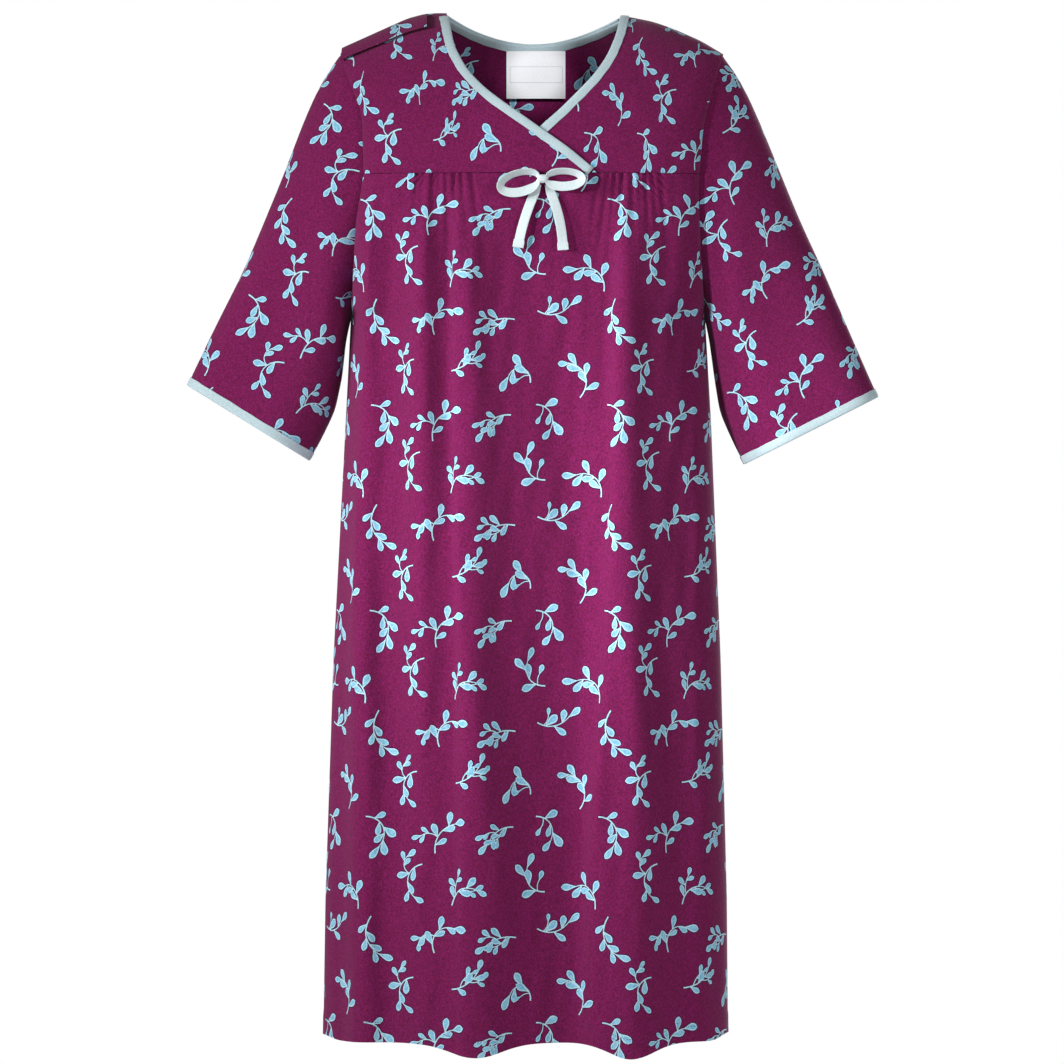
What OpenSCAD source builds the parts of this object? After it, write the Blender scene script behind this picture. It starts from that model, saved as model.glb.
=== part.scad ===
// Open-back patient gown: surplice front with a gathered skirt, three-quarter
// set-in sleeves, and two back panels that lap the full width of the back.
// Wearer's right is -X, the front faces -Y, +Z is up.
// The origin is at the height of the neck points, midway between the shoulders.

/* [Cloth] */
// Thickness of the knit cloth
cloth_t = 1; // [0.6:0.1:1.4]
// Space between the middles of two cloth layers that lap
lap_gap = 3.6; // [3:0.1:5]
// Width of the folded edge binding
bind_w = 10; // [8:1:12]
// Thickness over both layers of the binding
bind_t = 3; // [2.6:0.2:4]

/* [Body] */
// Front depth at the bust
front_depth = 100; // [85:5:120]
// Back depth at the shoulder blades
back_depth = 98; // [85:5:120]
// Drop from the neck points to the yoke seam
seam_drop = 184; // [160:2:210]
// Drop from the neck points to the hem at the sides
hem_drop = 1156; // [1000:2:1250]
// Depth of the turned-up hem
hem_turn = 24; // [15:1:35]
// Drop of the back neck below the neck points
neck_drop = 34; // [25:1:50]
// How far the skirt folds stand out, as a factor
fold_k = 1; // [0:0.1:1.5]

/* [Arms] */
// Drop from the neck points to the underarm
arm_drop = 340; // [300:5:380]
// Half depth of the armhole
arm_depth = 60; // [45:1:75]
// Half depth of the sleeve at the cuff
cuff_depth = 42; // [30:1:60]

/* [Openings] */
// Drop from the neck points to where the back panels begin to swing
swing_top = 520; // [520:10:600]
// Drop from the neck points to where the half-way part of the swing ends
swing_mid = 800; // [700:10:900]
// How far the shoulder flap reaches over the front, in degrees of the shoulder round
flap_reach = 24; // [16:1:30]

/* [Trim] */
// Width of the ribbon
ribbon_w = 10; // [6:1:14]
// Thickness of the ribbon
ribbon_t = 0.8; // [0.5:0.1:1.2]
// Width of the label
label_w = 67; // [40:1:80]
// Height of the label
label_h = 54; // [30:1:70]
// Radius of a snap's base
snap_r = 4.5; // [3.5:0.5:6]
// Radius of a snap's post
post_r = 1.6; // [1.2:0.1:2]

/* [Hidden] */
plum = [0.48, 0.11, 0.36];
ice = [0.80, 0.90, 0.93];
zs = -seam_drop;
za = -arm_drop;
zt = -swing_top;
zm = -swing_mid;

// ---- outline of the body seen from the front, as rounded stations of height ----
left_edge = [[-1190, -235], [-1130, -234], [-1000, -232], [-730, -223], [-460, -209],
  [-340, -203], [-240, -197], [-185, -188], [-115, -190], [-85, -202], [-48, -215], [0, -232]];
right_edge = [[-1190, 223], [-1130, 222], [-1000, 221], [-730, 214], [-460, 203],
  [-340, 196], [-275, 191], [-205, 188], [-135, 193], [-95, 202], [-48, 217], [0, 234]];
ridge_line = [[-240, -59], [-215, -46], [-137, -11], [-115, -5.5], [-100, -4], [-60, -1], [0, 0],
  [60, -1], [106, -4], [137, -10], [160, -18], [192, -32], [217, -47], [240, -62]];
over_edge = [[-190, 79], [-184, 75], [-154, 38], [-132, 6], [-111, -24], [-90, -52],
  [-69, -72], [-42, -87], [-4, -95], [0, -96]];
under_edge = [[-190, -54], [-184, -48], [-160, -20], [-135, 8], [-114, 32], [-95, 51],
  [-73, 72], [-53, 86], [-27, 97], [-4, 102], [0, 103]];
outer_free = [[-1190, -150], [-460, -165], [-184, -180], [-115, -184], [-85, -196], [-46, -209], [0, -225]];
inner_free = [[-1190, 120], [-460, 150], [-184, 168], [-115, 183], [-85, 192], [-46, 209], [0, 225]];

function xl(z) = lookup(z, left_edge);
function xr(z) = lookup(z, right_edge);
function midx(z) = (xl(z) + xr(z)) / 2;
function half(z) = (xr(z) - xl(z)) / 2;
function ridge(x) = lookup(x, ridge_line);
function lim(t) = min(1, max(0, t));
function sst(a, b, t) = let (k = lim((t - a) / (b - a))) k * k * (3 - 2 * k);
function bump(x, c, s) = exp(-pow((x - c) / s, 2));
function mix(a, b, t) = a + (b - a) * t;
function unit(v) = v / max(norm(v), 1e-9);
function prof(u) = pow(max(0, 1 - u * u), 0.45);

// half depth of the armhole edge at a height, nothing below the underarm
function side_d(z) = z > zs ? arm_depth
  : z > za ? arm_depth * sqrt(max(0, 1 - pow((zs - z) / (zs - za), 2))) : 0;
function f_depth(z) = front_depth + 6 * sst(-184, -600, z) + 6 * sst(-600, -1150, z);
function b_depth(z) = back_depth + 5 * sst(-184, -460, z) + 2 * sst(-460, -1150, z);

// soft folds that fall from the yoke seam
function folds_f(x, z) = let (g = sst(-184, -330, z), d = sst(-330, -1000, z))
  fold_k * g * (7 * bump(x, -188, 17)
    + mix(9, 4, d) * bump(x, -122, 17)
    + mix(8, 15, d) * bump(x, mix(-68, -62, d), mix(18, 38, d))
    - mix(2, 4, d) * bump(x, mix(30, 40, d), 40)
    + mix(8, 14, d) * bump(x, mix(108, 122, d), mix(18, 27, d))
    + 4 * bump(x, 205, 15));
function folds_b(x, z) = let (g = sst(-184, -420, z), d = sst(-420, -1100, z))
  fold_k * g * (5 * bump(x, -165, 26) + mix(4, 8, d) * bump(x, -48, 34)
    + mix(3, 7, d) * bump(x, 40, 26) + 4 * bump(x, 160, 26));
function hem_f(x) = -hem_drop - 4 - 16 * bump(x, -62, 40) - 18 * bump(x, 112, 34)
  + 6 * bump(x, -235, 14) + 8 * bump(x, 222, 12);
function hem_b(x) = -hem_drop - 4 - 6 * bump(x, -48, 45) - 5 * bump(x, 60, 40)
  + 6 * bump(x, -235, 14) + 8 * bump(x, 222, 12);

// ---- the four surfaces ----
// below the yoke seam: s runs -1..1 from side to side, z is the height
function front_xz(x, z) = let (u = lim(abs(x - midx(z)) / half(z)))
  [x, -(0.3 + side_d(z) + (f_depth(z) - side_d(z)) * prof(u) + folds_f(x, z) * lim(4 * (1 - u))), z];
function back_xz(x, z) = let (u = lim(abs(x - midx(z)) / half(z)))
  [x, 0.3 + side_d(z) + (b_depth(z) - side_d(z)) * prof(u) + folds_b(x, z) * lim(4 * (1 - u)), z];
// above it: v runs 0..1 from the shoulder ridge to the height of the seam
function top_z(x, v) = let (r = ridge(x)) r - (seam_drop + r) * (1 - cos(90 * v));
function top_xv(x, v, dep, sg) = let (z = top_z(x, v), u = lim(abs(x - midx(z)) / half(z)))
  [x, sg * (0.3 + (arm_depth + (dep - arm_depth) * prof(u)) * sin(90 * v)), z];
function fy(x, v) = top_xv(x, v, front_depth, -1);
function by(x, v) = top_xv(x, v, back_depth, 1);
// unit normals, pointing out of the gown
function fy_n(x, v) = unit(cross(fy(x, v + 0.01) - fy(x, v - 0.01 * sign(v)), fy(x + 1, v) - fy(x - 1, v)));
function by_n(x, v) = unit(cross(by(x + 1, v) - by(x - 1, v), by(x, v + 0.01) - by(x, v - 0.01 * sign(v))));
function bz_n(x, z) = unit(cross(back_xz(x + 1, z) - back_xz(x - 1, z), back_xz(x, z - 1) - back_xz(x, z + 1)));
// back surface over its whole height: w below 0 is v - 1, from 0 down is a drop below the seam
function back_w(x, w, off) = w < 0 ? by(x, 1 + w) + off * by_n(x, 1 + w)
  : back_xz(x, zs - w) + off * bz_n(x, zs - w);
function w_z(x, w) = w < 0 ? top_z(x, 1 + w) : zs - w;

// x of an edge list at row v, found by stepping twice from a first guess
function edge_v(list, v, x0) = let (x1 = lookup(top_z(x0, v), list), x2 = lookup(top_z(x1, v), list))
  lookup(top_z(x2, v), list);
function edge_w(list, w, x0) = w < 0 ? edge_v(list, 1 + w, x0) : lookup(zs - w, list);

// where each lapping layer lies, out from the shared surface
function over_off(x, z) = (lap_gap + 0.2) * sst(-80, -12, x) * (1 - 0.35 * sst(-150, -184, z));
function outer_off(x, z) = 4.6 * (1 - sst(-120, -60, x)) * (1 - sst(-120, -300, z));
function inner_off(x, z) = -lap_gap * max(sst(-120, -60, x), sst(-195, -160, x) * sst(-120, -300, z))
  - sst(60, 120, x) * (1 - sst(-120, -300, z));

// ---- solids from grids ----
function g_n(P, i, j, wrap) = let (I = len(P) - 1, J = len(P[0]),
    ja = wrap ? (j + J - 1) % J : max(0, j - 1), jb = wrap ? (j + 1) % J : min(J - 1, j + 1))
  unit(cross(P[i][jb] - P[i][ja], P[min(I, i + 1)][j] - P[max(0, i - 1)][j]));
// a sheet of even thickness on a grid of points
module sheet(P, t, wrap = false) {
  R = len(P); C = len(P[0]); K = wrap ? C : C - 1;
  A = [for (i = [0 : R - 1]) for (j = [0 : C - 1]) P[i][j] + g_n(P, i, j, wrap) * t / 2];
  B = [for (i = [0 : R - 1]) for (j = [0 : C - 1]) P[i][j] - g_n(P, i, j, wrap) * t / 2];
  function a(i, j) = i * C + j % C;
  function b(i, j) = R * C + i * C + j % C;
  F = concat(
    [for (i = [0 : R - 2]) for (j = [0 : K - 1]) each [[a(i, j), a(i + 1, j), a(i + 1, j + 1)], [a(i, j), a(i + 1, j + 1), a(i, j + 1)]]],
    [for (i = [0 : R - 2]) for (j = [0 : K - 1]) each [[b(i, j), b(i + 1, j + 1), b(i + 1, j)], [b(i, j), b(i, j + 1), b(i + 1, j + 1)]]],
    [for (j = [0 : K - 1]) each [[a(0, j), a(0, j + 1), b(0, j + 1)], [a(0, j), b(0, j + 1), b(0, j)]]],
    [for (j = [0 : K - 1]) each [[a(R - 1, j + 1), a(R - 1, j), b(R - 1, j)], [a(R - 1, j + 1), b(R - 1, j), b(R - 1, j + 1)]]],
    wrap ? [] : [for (i = [0 : R - 2]) each [[a(i + 1, 0), a(i, 0), b(i, 0)], [a(i + 1, 0), b(i, 0), b(i + 1, 0)]]],
    wrap ? [] : [for (i = [0 : R - 2]) each [[a(i, C - 1), a(i + 1, C - 1), b(i + 1, C - 1)], [a(i, C - 1), b(i + 1, C - 1), b(i, C - 1)]]]);
  polyhedron(points = concat(A, B), faces = F, convexity = 8);
}
// a closed profile carried along rings of points
module carry(Q, loop = false) {
  R = len(Q); M = len(Q[0]);
  function q(k, m) = (k % R) * M + m % M;
  F = concat(
    [for (k = [0 : (loop ? R - 1 : R - 2)]) for (m = [0 : M - 1]) each [[q(k, m), q(k, m + 1), q(k + 1, m + 1)], [q(k, m), q(k + 1, m + 1), q(k + 1, m)]]],
    loop ? [] : [[for (m = [M - 1 : -1 : 0]) q(0, m)], [for (m = [0 : M - 1]) q(R - 1, m)]]);
  polyhedron(points = [for (k = [0 : R - 1]) for (m = [0 : M - 1]) Q[k][m]], faces = F, convexity = 8);
}
// folded binding: both layers and the fold round a cloth edge
b2 = bind_t / 2;
function u_profile(w) = [[-1.4, -b2], [-1.4, b2], [w - 1.4, b2], [w - 1.4, 0.75], [-0.3, 0.75], [-0.3, -0.75], [w - 1.4, -0.75], [w - 1.4, -b2]];
function ring(e, a, n, pr) = [for (p = pr) e + a * p[0] + n * p[1]];

// ---- front ----
ny = 14;
function over_pt(x, v) = fy(x, v) + over_off(x, top_z(x, v)) * fy_n(x, v);
module front_yoke_right() color(plum) sheet([for (i = [0 : ny]) let (v = 0.998 * i / ny,
  xa = edge_v(left_edge, v, -200), xb = edge_v(over_edge, v, -95 + 160 * v))
  [for (j = [0 : 14]) over_pt(mix(xa, xb, j / 14), v)]], cloth_t);
module front_yoke_left() color(plum) sheet([for (i = [0 : ny]) let (v = 0.998 * i / ny,
  xa = edge_v(under_edge, v, 102 - 140 * v), xb = edge_v(right_edge, v, 200))
  [for (j = [0 : 14]) fy(mix(xa, xb, j / 14), v)]], cloth_t);
fc = 44;
function fx(z, s) = midx(z) + half(z) * sin(90 * s);
// heights from the seam to the underarm, closer together near the underarm
function arm_row(k) = zs - (arm_drop - seam_drop) * sin(90 * k);
module front_skirt() color(plum) sheet([for (i = [0 : 17]) [for (j = [0 : fc]) let (s = 2 * j / fc - 1,
  x1 = fx(-1130, s), zb = hem_f(x1) + hem_turn + 0.1, z = i < 8 ? min(zs - 0.2, arm_row(i / 7)) : mix(za, zb, (i - 7) / 10))
  front_xz(fx(z, s), z)]], cloth_t);
module front_hem() color(plum) sheet([for (i = [0 : 2]) [for (j = [0 : fc]) let (s = 2 * j / fc - 1,
  x1 = fx(-1130, s), zb = hem_f(x1), z = mix(zb + hem_turn, zb, i / 2))
  front_xz(fx(z, s), z)]], 2 * cloth_t);

module neck_binding_right() color(ice) carry([for (i = [0 : ny]) let (v = 0.985 * i / ny, dv = 0.01,
  x = edge_v(over_edge, v, -95 + 160 * v), xq = edge_v(over_edge, v + dv, -95 + 160 * (v + dv)),
  e = over_pt(x, v), t = unit(over_pt(xq, v + dv) - e), n0 = fy_n(x, v), a = unit(cross(t, n0)), n = unit(cross(a, t)))
  ring(e, a, n, u_profile(bind_w))]);
module neck_binding_left() color(ice) carry([for (i = [0 : ny]) let (v = 0.90 * i / ny, dv = 0.01,
  x = edge_v(under_edge, v, 102 - 140 * v), xq = edge_v(under_edge, v + dv, 102 - 140 * (v + dv)),
  e = fy(x, v), t = unit(fy(xq, v + dv) - e), n0 = fy_n(x, v), a = unit(cross(n0, t)), n = unit(cross(t, a)))
  ring(e, a, n, [for (k = [7 : -1 : 0]) u_profile(bind_w)[k]])]);

// ---- back ----
neck_a = -98; neck_b = 104;
function neck_z(x) = let (t = (x - (neck_a + neck_b) / 2) / ((neck_b - neck_a) / 2))
  abs(t) >= 1 ? ridge(x) : mix(ridge(x), -neck_drop, 1 - t * t);
function neck_v(x) = let (r = ridge(x)) acos(lim(1 - (r - neck_z(x)) / (seam_drop + r))) / 90;
// rows from the shoulder and neck edge down to where the panels begin to swing
nb = 10; nl = 10;
function low_row(i) = i <= 6 ? zs - arm_row(i / 6) : mix(arm_drop, swing_top - 0.1, (i - 6) / 4) - seam_drop;
function up_w(x, i, v0) = i <= nb ? mix(max(v0, neck_v(x)), 1, i / nb) - 1 : low_row(i - nb);
// x across a panel: evenly above the underarm, by the body's round below it
function cross_x(xa, xb, z, k) = let (m = midx(z), h = half(z),
  r = m + h * sin(mix(asin(max(-1, (xa - m) / h)), asin(min(1, (xb - m) / h)), k)))
  mix(mix(xa, xb, k), r, sst(zs, za, z));
module back_upper(ea, eb, inner) sheet([for (i = [0 : nb + nl]) [for (j = [0 : 30]) let (
  w0 = i <= nb ? i / nb - 1 : low_row(i - nb),
  xa = edge_w(ea, w0, -200), xb = edge_w(eb, w0, 200),
  x = i > nb ? cross_x(xa, xb, zs - w0, j / 30) : mix(xa, xb, j / 30),
  w = up_w(x, i, !inner && x < -100 ? 0.006 : 0))
  back_w(x, w, inner ? inner_off(x, w_z(x, w)) : outer_off(x, w_z(x, w)))]], cloth_t);
module back_outer_upper() color(plum) back_upper(outer_free, right_edge, false);
module back_inner_upper() color(plum) back_upper(left_edge, inner_free, true);

// a piece of a back panel from z0 down to z1, down to the hem's stitching (1) or the hem itself (2)
module back_part(ea, eb, z0, z1, rows, inner, thick, part = 0)
  sheet([for (i = [0 : rows]) [for (j = [0 : 26]) let (
    zn = part == 0 ? mix(z0, z1, i / rows) : part == 1 ? mix(z0, -hem_drop + 20, i / rows) : -hem_drop,
    xn = cross_x(lookup(zn, ea), lookup(zn, eb), zn, j / 26), zh = hem_b(xn),
    z = part == 0 ? zn : part == 1 ? mix(z0, zh + hem_turn + 0.1, i / rows) : mix(zh + hem_turn, zh, i / rows),
    x = cross_x(lookup(z, ea), lookup(z, eb), z, j / 26))
    back_xz(x, z) + (inner ? inner_off(x, z) : 0) * bz_n(x, z)]], thick);
module back_outer_mid() color(plum) back_part(outer_free, right_edge, zt - 1, zm + 0.8, 6, false, cloth_t);
module back_outer_low() color(plum) back_part(outer_free, right_edge, zm - 0.8, 0, 8, false, cloth_t, 1);
module back_outer_hem() color(plum) back_part(outer_free, right_edge, 0, 0, 2, false, 1.6 * cloth_t, 2);
module back_inner_mid() color(plum) back_part(left_edge, inner_free, zt - 1, zm + 0.8, 6, true, cloth_t);
module back_inner_low() color(plum) back_part(left_edge, inner_free, zm - 0.8, 0, 8, true, cloth_t, 1);
module back_inner_hem() color(plum) back_part(left_edge, inner_free, 0, 0, 2, true, 1.6 * cloth_t, 2);

// bindings of the back neck, one on each panel
function bk_pt(x, off) = let (w = neck_v(x) - 1) back_w(x, w, off);
module back_bind(inner, xa, xb) carry([for (k = [0 : 20]) let (x = mix(xa, xb, k / 20),
  o = inner ? inner_off(x, neck_z(x)) : outer_off(x, neck_z(x)), o2 = inner ? inner_off(x + 1, neck_z(x + 1)) : outer_off(x + 1, neck_z(x + 1)),
  e = bk_pt(x, o), t = unit(bk_pt(x + 1, o2) - e), n0 = by_n(x, neck_v(x)), a = unit(cross(t, n0)), n = unit(cross(a, t)))
  ring(e, -a * sign(a[2]), n, [for (m = (a[2] > 0 ? [0 : 7] : [7 : -1 : 0])) u_profile(bind_w)[m]])]);
module back_neck_binding_outer() color(ice) back_bind(false, neck_a + 4, neck_b - 8);
module back_neck_binding_inner() color(ice) back_bind(true, neck_a + 8, neck_b - 4);

// ---- shoulder flap with its snaps ----
flap_a = -211; flap_b = -117;
snap_x = [-196, -164, -132];
function flap_pt(x, v, h) = fy(x, v) + h * fy_n(x, v);
v_flap = flap_reach / 90;
module shoulder_flap() color(plum) sheet([for (i = [0 : 4]) [for (j = [0 : 10])
  flap_pt(mix(flap_a, flap_b, j / 10), mix(0.012, v_flap, i / 4), 4.7)]], cloth_t);
module flap_snap_tape() color(ice) sheet([for (i = [0 : 2]) [for (j = [0 : 10])
  flap_pt(mix(flap_a + 4, flap_b - 4, j / 10), mix(0.10, v_flap - 0.03, i / 2), 3.7)]], 0.6);
module shoulder_snap_tape() color(ice) sheet([for (i = [0 : 2]) [for (j = [0 : 10])
  flap_pt(mix(flap_a + 4, flap_b - 4, j / 10), mix(0.10, v_flap - 0.03, i / 2), 1.05)]], 0.6);
// put a piece on the shoulder, its z along the cloth's outward normal
module at_pt(p, n) { x = unit(cross([0, 1, 0.001], n)); y = cross(n, x);
  multmatrix([[x[0], y[0], n[0], p[0]], [x[1], y[1], n[1], p[1]], [x[2], y[2], n[2], p[2]], [0, 0, 0, 1]]) children(); }
v_snap = 0.17;
module stud() { cylinder(r = snap_r, h = 0.5, $fn = 32); cylinder(r = post_r, h = 1.4, $fn = 24); }
module socket() difference() { cylinder(r = snap_r, h = 1, $fn = 32); translate([0, 0, -1]) cylinder(r = post_r + 0.4, h = 3, $fn = 24); }
module shoulder_snap_studs() color([0.9, 0.92, 0.93]) for (x = snap_x) at_pt(flap_pt(x, v_snap, 1.6), fy_n(x, v_snap)) stud();
module flap_snap_sockets() color([0.9, 0.92, 0.93]) for (x = snap_x) at_pt(flap_pt(x, v_snap, 2.2), fy_n(x, v_snap)) socket();
// snaps that hold the inner panel's corner inside the other shoulder
in_snap_x = [132, 164, 190];
function bs_pt(x, h) = by(x, v_snap) + h * by_n(x, v_snap);
module inner_snap_studs() color([0.9, 0.92, 0.93]) for (x = in_snap_x) at_pt(bs_pt(x, -3.8), by_n(x, v_snap)) stud();
module outer_snap_sockets() color([0.9, 0.92, 0.93]) for (x = in_snap_x) at_pt(bs_pt(x, -2.2), by_n(x, v_snap)) socket();

// ---- sleeves ----
r_out = [[0, -216, -47], [0.08, -239, -82], [0.2, -257, -124], [0.35, -278, -180], [0.5, -301, -236],
  [0.65, -326, -295], [0.8, -355, -352], [0.92, -377, -398], [1, -391, -427]];
r_in = [[0, -204.5, -341], [0.3, -210, -375], [0.55, -214, -412], [0.75, -222, -450], [0.9, -240, -487], [1, -253, -509]];
l_out = [[0, 218, -48], [0.08, 242, -85], [0.2, 260, -128], [0.35, 281, -180], [0.5, 304, -236],
  [0.65, 330, -292], [0.8, 354, -348], [0.92, 380, -408], [1, 395, -441]];
l_in = [[0, 197.5, -341], [0.3, 203, -378], [0.55, 208, -415], [0.75, 214, -452], [0.9, 230, -488], [1, 243.5, -514]];
function at_s(list, s) = [lookup(s, [for (p = list) [p[0], p[1]]]), 0, lookup(s, [for (p = list) [p[0], p[2]]])];
// a point on a sleeve: s from armhole to cuff, f round it from the shoulder
// the armhole ring that a sleeve starts from, before it is bowed to the body's side
function root(lo, li, f) = let (o = at_s(lo, 0), i = at_s(li, 0), c = mix(i, o, 0.534), h = cos(f) > 0 ? o - c : c - i) c + h * cos(f);
function slv(lo, li, edge, s, f) = let (o = at_s(lo, s), i = at_s(li, s), c = mix(i, o, mix(0.534, 0.5, lim(s / 0.4))),
    h = cos(f) > 0 ? o - c : c - i,
    d = mix(arm_depth, cuff_depth, sst(0, 0.8, s)) * (1 + 0.05 * sin(180 * s)),
    q = c + h * cos(f), r = root(lo, li, f),
    bow = (lookup(r[2], edge) + sign(o[0]) * 1.8 - r[0]) * pow(1 - lim(s / 0.3), 2))
  [q[0] + bow, -sin(f) * (d + 4 * sst(0.1, 0.5, s) * (0.5 + 0.5 * sin(3 * f + 40))), q[2]];
na = 28; ns = 14;
module sleeve_right() color(plum) sheet([for (i = [0 : ns]) [for (j = [0 : na - 1])
  slv(r_out, r_in, left_edge, 0.985 * i / ns, 360 * j / na)]], cloth_t, true);
module sleeve_left() color(plum) sheet([for (i = [0 : ns]) [for (j = [0 : na - 1])
  slv(l_out, l_in, right_edge, 0.985 * i / ns, -360 * j / na)]], cloth_t, true);
module cuff(lo, li, edge, sg) carry([for (j = [0 : na - 1]) let (f = sg * 360 * j / na, ds = 0.03,
  e = slv(lo, li, edge, 0.985, f), a = unit(slv(lo, li, edge, 0.985 - ds, f) - e),
  t = unit(slv(lo, li, edge, 0.985, f + 2 * sg) - slv(lo, li, edge, 0.985, f - 2 * sg)), n = unit(cross(a, t)))
  ring(e, a, n, u_profile(bind_w))], true);
module cuff_binding_right() color(ice) cuff(r_out, r_in, left_edge, 1);
module cuff_binding_left() color(ice) cuff(l_out, l_in, right_edge, -1);

// ---- bow ----
bow_x = 13; bow_z = -191;
bow_y = front_xz(bow_x, bow_z)[1] - 7;
module bow_knot() color(ice) translate([bow_x, bow_y, bow_z]) scale([6.5, 4.2, 5]) sphere(r = 1, $fn = 24);
// a flat ribbon along a list of centre points, standing edge-on to the gown
function rib_ring(p, t, w) = let (y = [0, 1, 0], n = unit([-t[2], 0, t[0]]))
  [for (c = [[-1, -1], [1, -1], [1, 1], [-1, 1]]) p + y * c[0] * ribbon_t / 2 + n * c[1] * w / 2];
module ribbon(P, w = 10) carry([for (k = [0 : len(P) - 1]) let (
  t = unit(P[min(len(P) - 1, k + 1)] - P[max(0, k - 1)])) rib_ring(P[k], t, w)]);
// each loop leaves the knot, goes out above, turns and comes back beneath it
module loop_half(sg, len, dz, y0, y1, a0) {
  P = [for (k = [0 : 20]) let (f = k / 20, g = 360 * f) [bow_x + sg * (7.2 + len * (1 - cos(g)) / 2),
    mix(y0, y1, sst(0.2, 0.8, f)) - 2.5 * sin(180 * f), bow_z + 1.5 * cos(180 * f) + dz * sin(g) + a0 * (1 - cos(g)) / 2]];
  Q = [for (k = [0 : 20]) let (t = unit(P[min(20, k + 1)] - P[max(0, k - 1)]), n = unit(cross(t, [0, 1, 0])),
    wd = unit(n * 0.72 * sg - [0, 0.7, 0]), th = unit(cross(wd, t)))
    [for (c = [[-1, -1], [1, -1], [1, 1], [-1, 1]]) P[k] + th * c[0] * ribbon_t / 2 + wd * c[1] * 4.2]];
  if (sg > 0) carry([for (r = Q) [for (m = [3 : -1 : 0]) r[m]]]); else carry(Q);
}
module bow_loop_left() color(ice) loop_half(-1, 40, 11, bow_y + 1, bow_y - 1, -8);
module bow_loop_right() color(ice) loop_half(1, 37, 7.5, bow_y + 1, bow_y - 1, 0);
module bow_tail_left() color(ice) ribbon([for (k = [0 : 14]) let (f = k / 14)
  [bow_x - 4.6 - 23 * f - 12 * f * (1 - f), bow_y + 4 - 2 * sin(180 * f) - 4 * f, bow_z - 6 - 71 * f]], ribbon_w);
module bow_tail_right() color(ice) ribbon([for (k = [0 : 14]) let (f = k / 14)
  [bow_x + 5.6 + 17.5 * f + 4 * sin(180 * f), bow_y + 4 - 2 * sin(180 * f) - 4 * f, bow_z - 6 - 74 * f]], ribbon_w);

// ---- label, hanging inside the back neck ----
label_y = back_w(4, neck_v(4) - 1, -lap_gap)[1] - 6;
module label() color([0.93, 0.94, 0.97]) translate([5.5 - label_w / 2, label_y - 0.3, -41 - label_h]) cube([label_w, 0.6, label_h]);

front_yoke_right();
front_yoke_left();
front_skirt();
front_hem();
back_outer_upper();
back_outer_mid();
back_outer_low();
back_outer_hem();
back_inner_upper();
back_inner_mid();
back_inner_low();
back_inner_hem();
neck_binding_right();
neck_binding_left();
back_neck_binding_outer();
back_neck_binding_inner();
shoulder_flap();
flap_snap_tape();
flap_snap_sockets();
shoulder_snap_tape();
shoulder_snap_studs();
inner_snap_studs();
outer_snap_sockets();
sleeve_right();
sleeve_left();
cuff_binding_right();
cuff_binding_left();
bow_knot();
bow_loop_left();
bow_loop_right();
bow_tail_left();
bow_tail_right();
label();
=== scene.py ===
"""Looks of an open-back patient gown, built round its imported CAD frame. Lengths in the maths are millimetres; meshes are metres."""
import bpy
import math
import random
import numpy as np
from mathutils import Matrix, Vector, kdtree
from mathutils.geometry import delaunay_2d_cdt


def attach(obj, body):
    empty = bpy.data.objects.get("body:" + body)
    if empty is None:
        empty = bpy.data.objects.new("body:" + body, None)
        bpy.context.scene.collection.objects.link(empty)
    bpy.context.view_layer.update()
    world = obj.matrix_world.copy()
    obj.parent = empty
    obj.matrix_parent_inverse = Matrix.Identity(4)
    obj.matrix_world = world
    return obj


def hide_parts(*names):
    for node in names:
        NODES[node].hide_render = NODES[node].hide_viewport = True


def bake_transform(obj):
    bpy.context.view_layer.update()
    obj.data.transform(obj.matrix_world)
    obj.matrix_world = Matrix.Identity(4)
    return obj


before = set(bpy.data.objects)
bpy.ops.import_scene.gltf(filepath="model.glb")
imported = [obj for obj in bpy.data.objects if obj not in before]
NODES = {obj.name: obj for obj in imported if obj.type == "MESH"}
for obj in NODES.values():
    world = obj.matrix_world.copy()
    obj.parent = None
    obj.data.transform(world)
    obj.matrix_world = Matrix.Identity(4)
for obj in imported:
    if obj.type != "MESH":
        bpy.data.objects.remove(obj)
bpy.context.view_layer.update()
rng = np.random.default_rng(7)
PI = math.pi

# ------------------------------------------------------------------ the gown's surfaces, as in the CAD source
SEAM, HEM, ARM, ARMD, NECKD, LAP = 184.0, 1156.0, 340.0, 60.0, 34.0, 3.6
ZS, ZA = -SEAM, -ARM
TURN = 24.0


def smooth(points, sigma=7.0, lo=None, hi=None):
    """A rounded version of a list of stations, as a function."""
    p = sorted(points)
    xs = np.array([a[0] for a in p], float)
    ys = np.array([a[1] for a in p], float)
    g = np.arange(xs[0] - 40, xs[-1] + 41, 1.0)
    v = np.interp(g, xs, ys)
    s0, s1 = (ys[1] - ys[0]) / (xs[1] - xs[0]), (ys[-1] - ys[-2]) / (xs[-1] - xs[-2])
    v = np.where(g < xs[0], ys[0] + s0 * (g - xs[0]), v)
    v = np.where(g > xs[-1], ys[-1] + s1 * (g - xs[-1]), v)
    k = np.arange(-3 * sigma, 3 * sigma + 1)
    w = np.exp(-0.5 * (k / sigma) ** 2)
    w /= w.sum()
    n = len(k) // 2
    pad = np.concatenate([v[0] + (v[1] - v[0]) * np.arange(-n, 0), v, v[-1] + (v[-1] - v[-2]) * np.arange(1, n + 1)])
    v = np.convolve(pad, w, "valid")
    return lambda x: np.interp(x, g, v)


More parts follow.
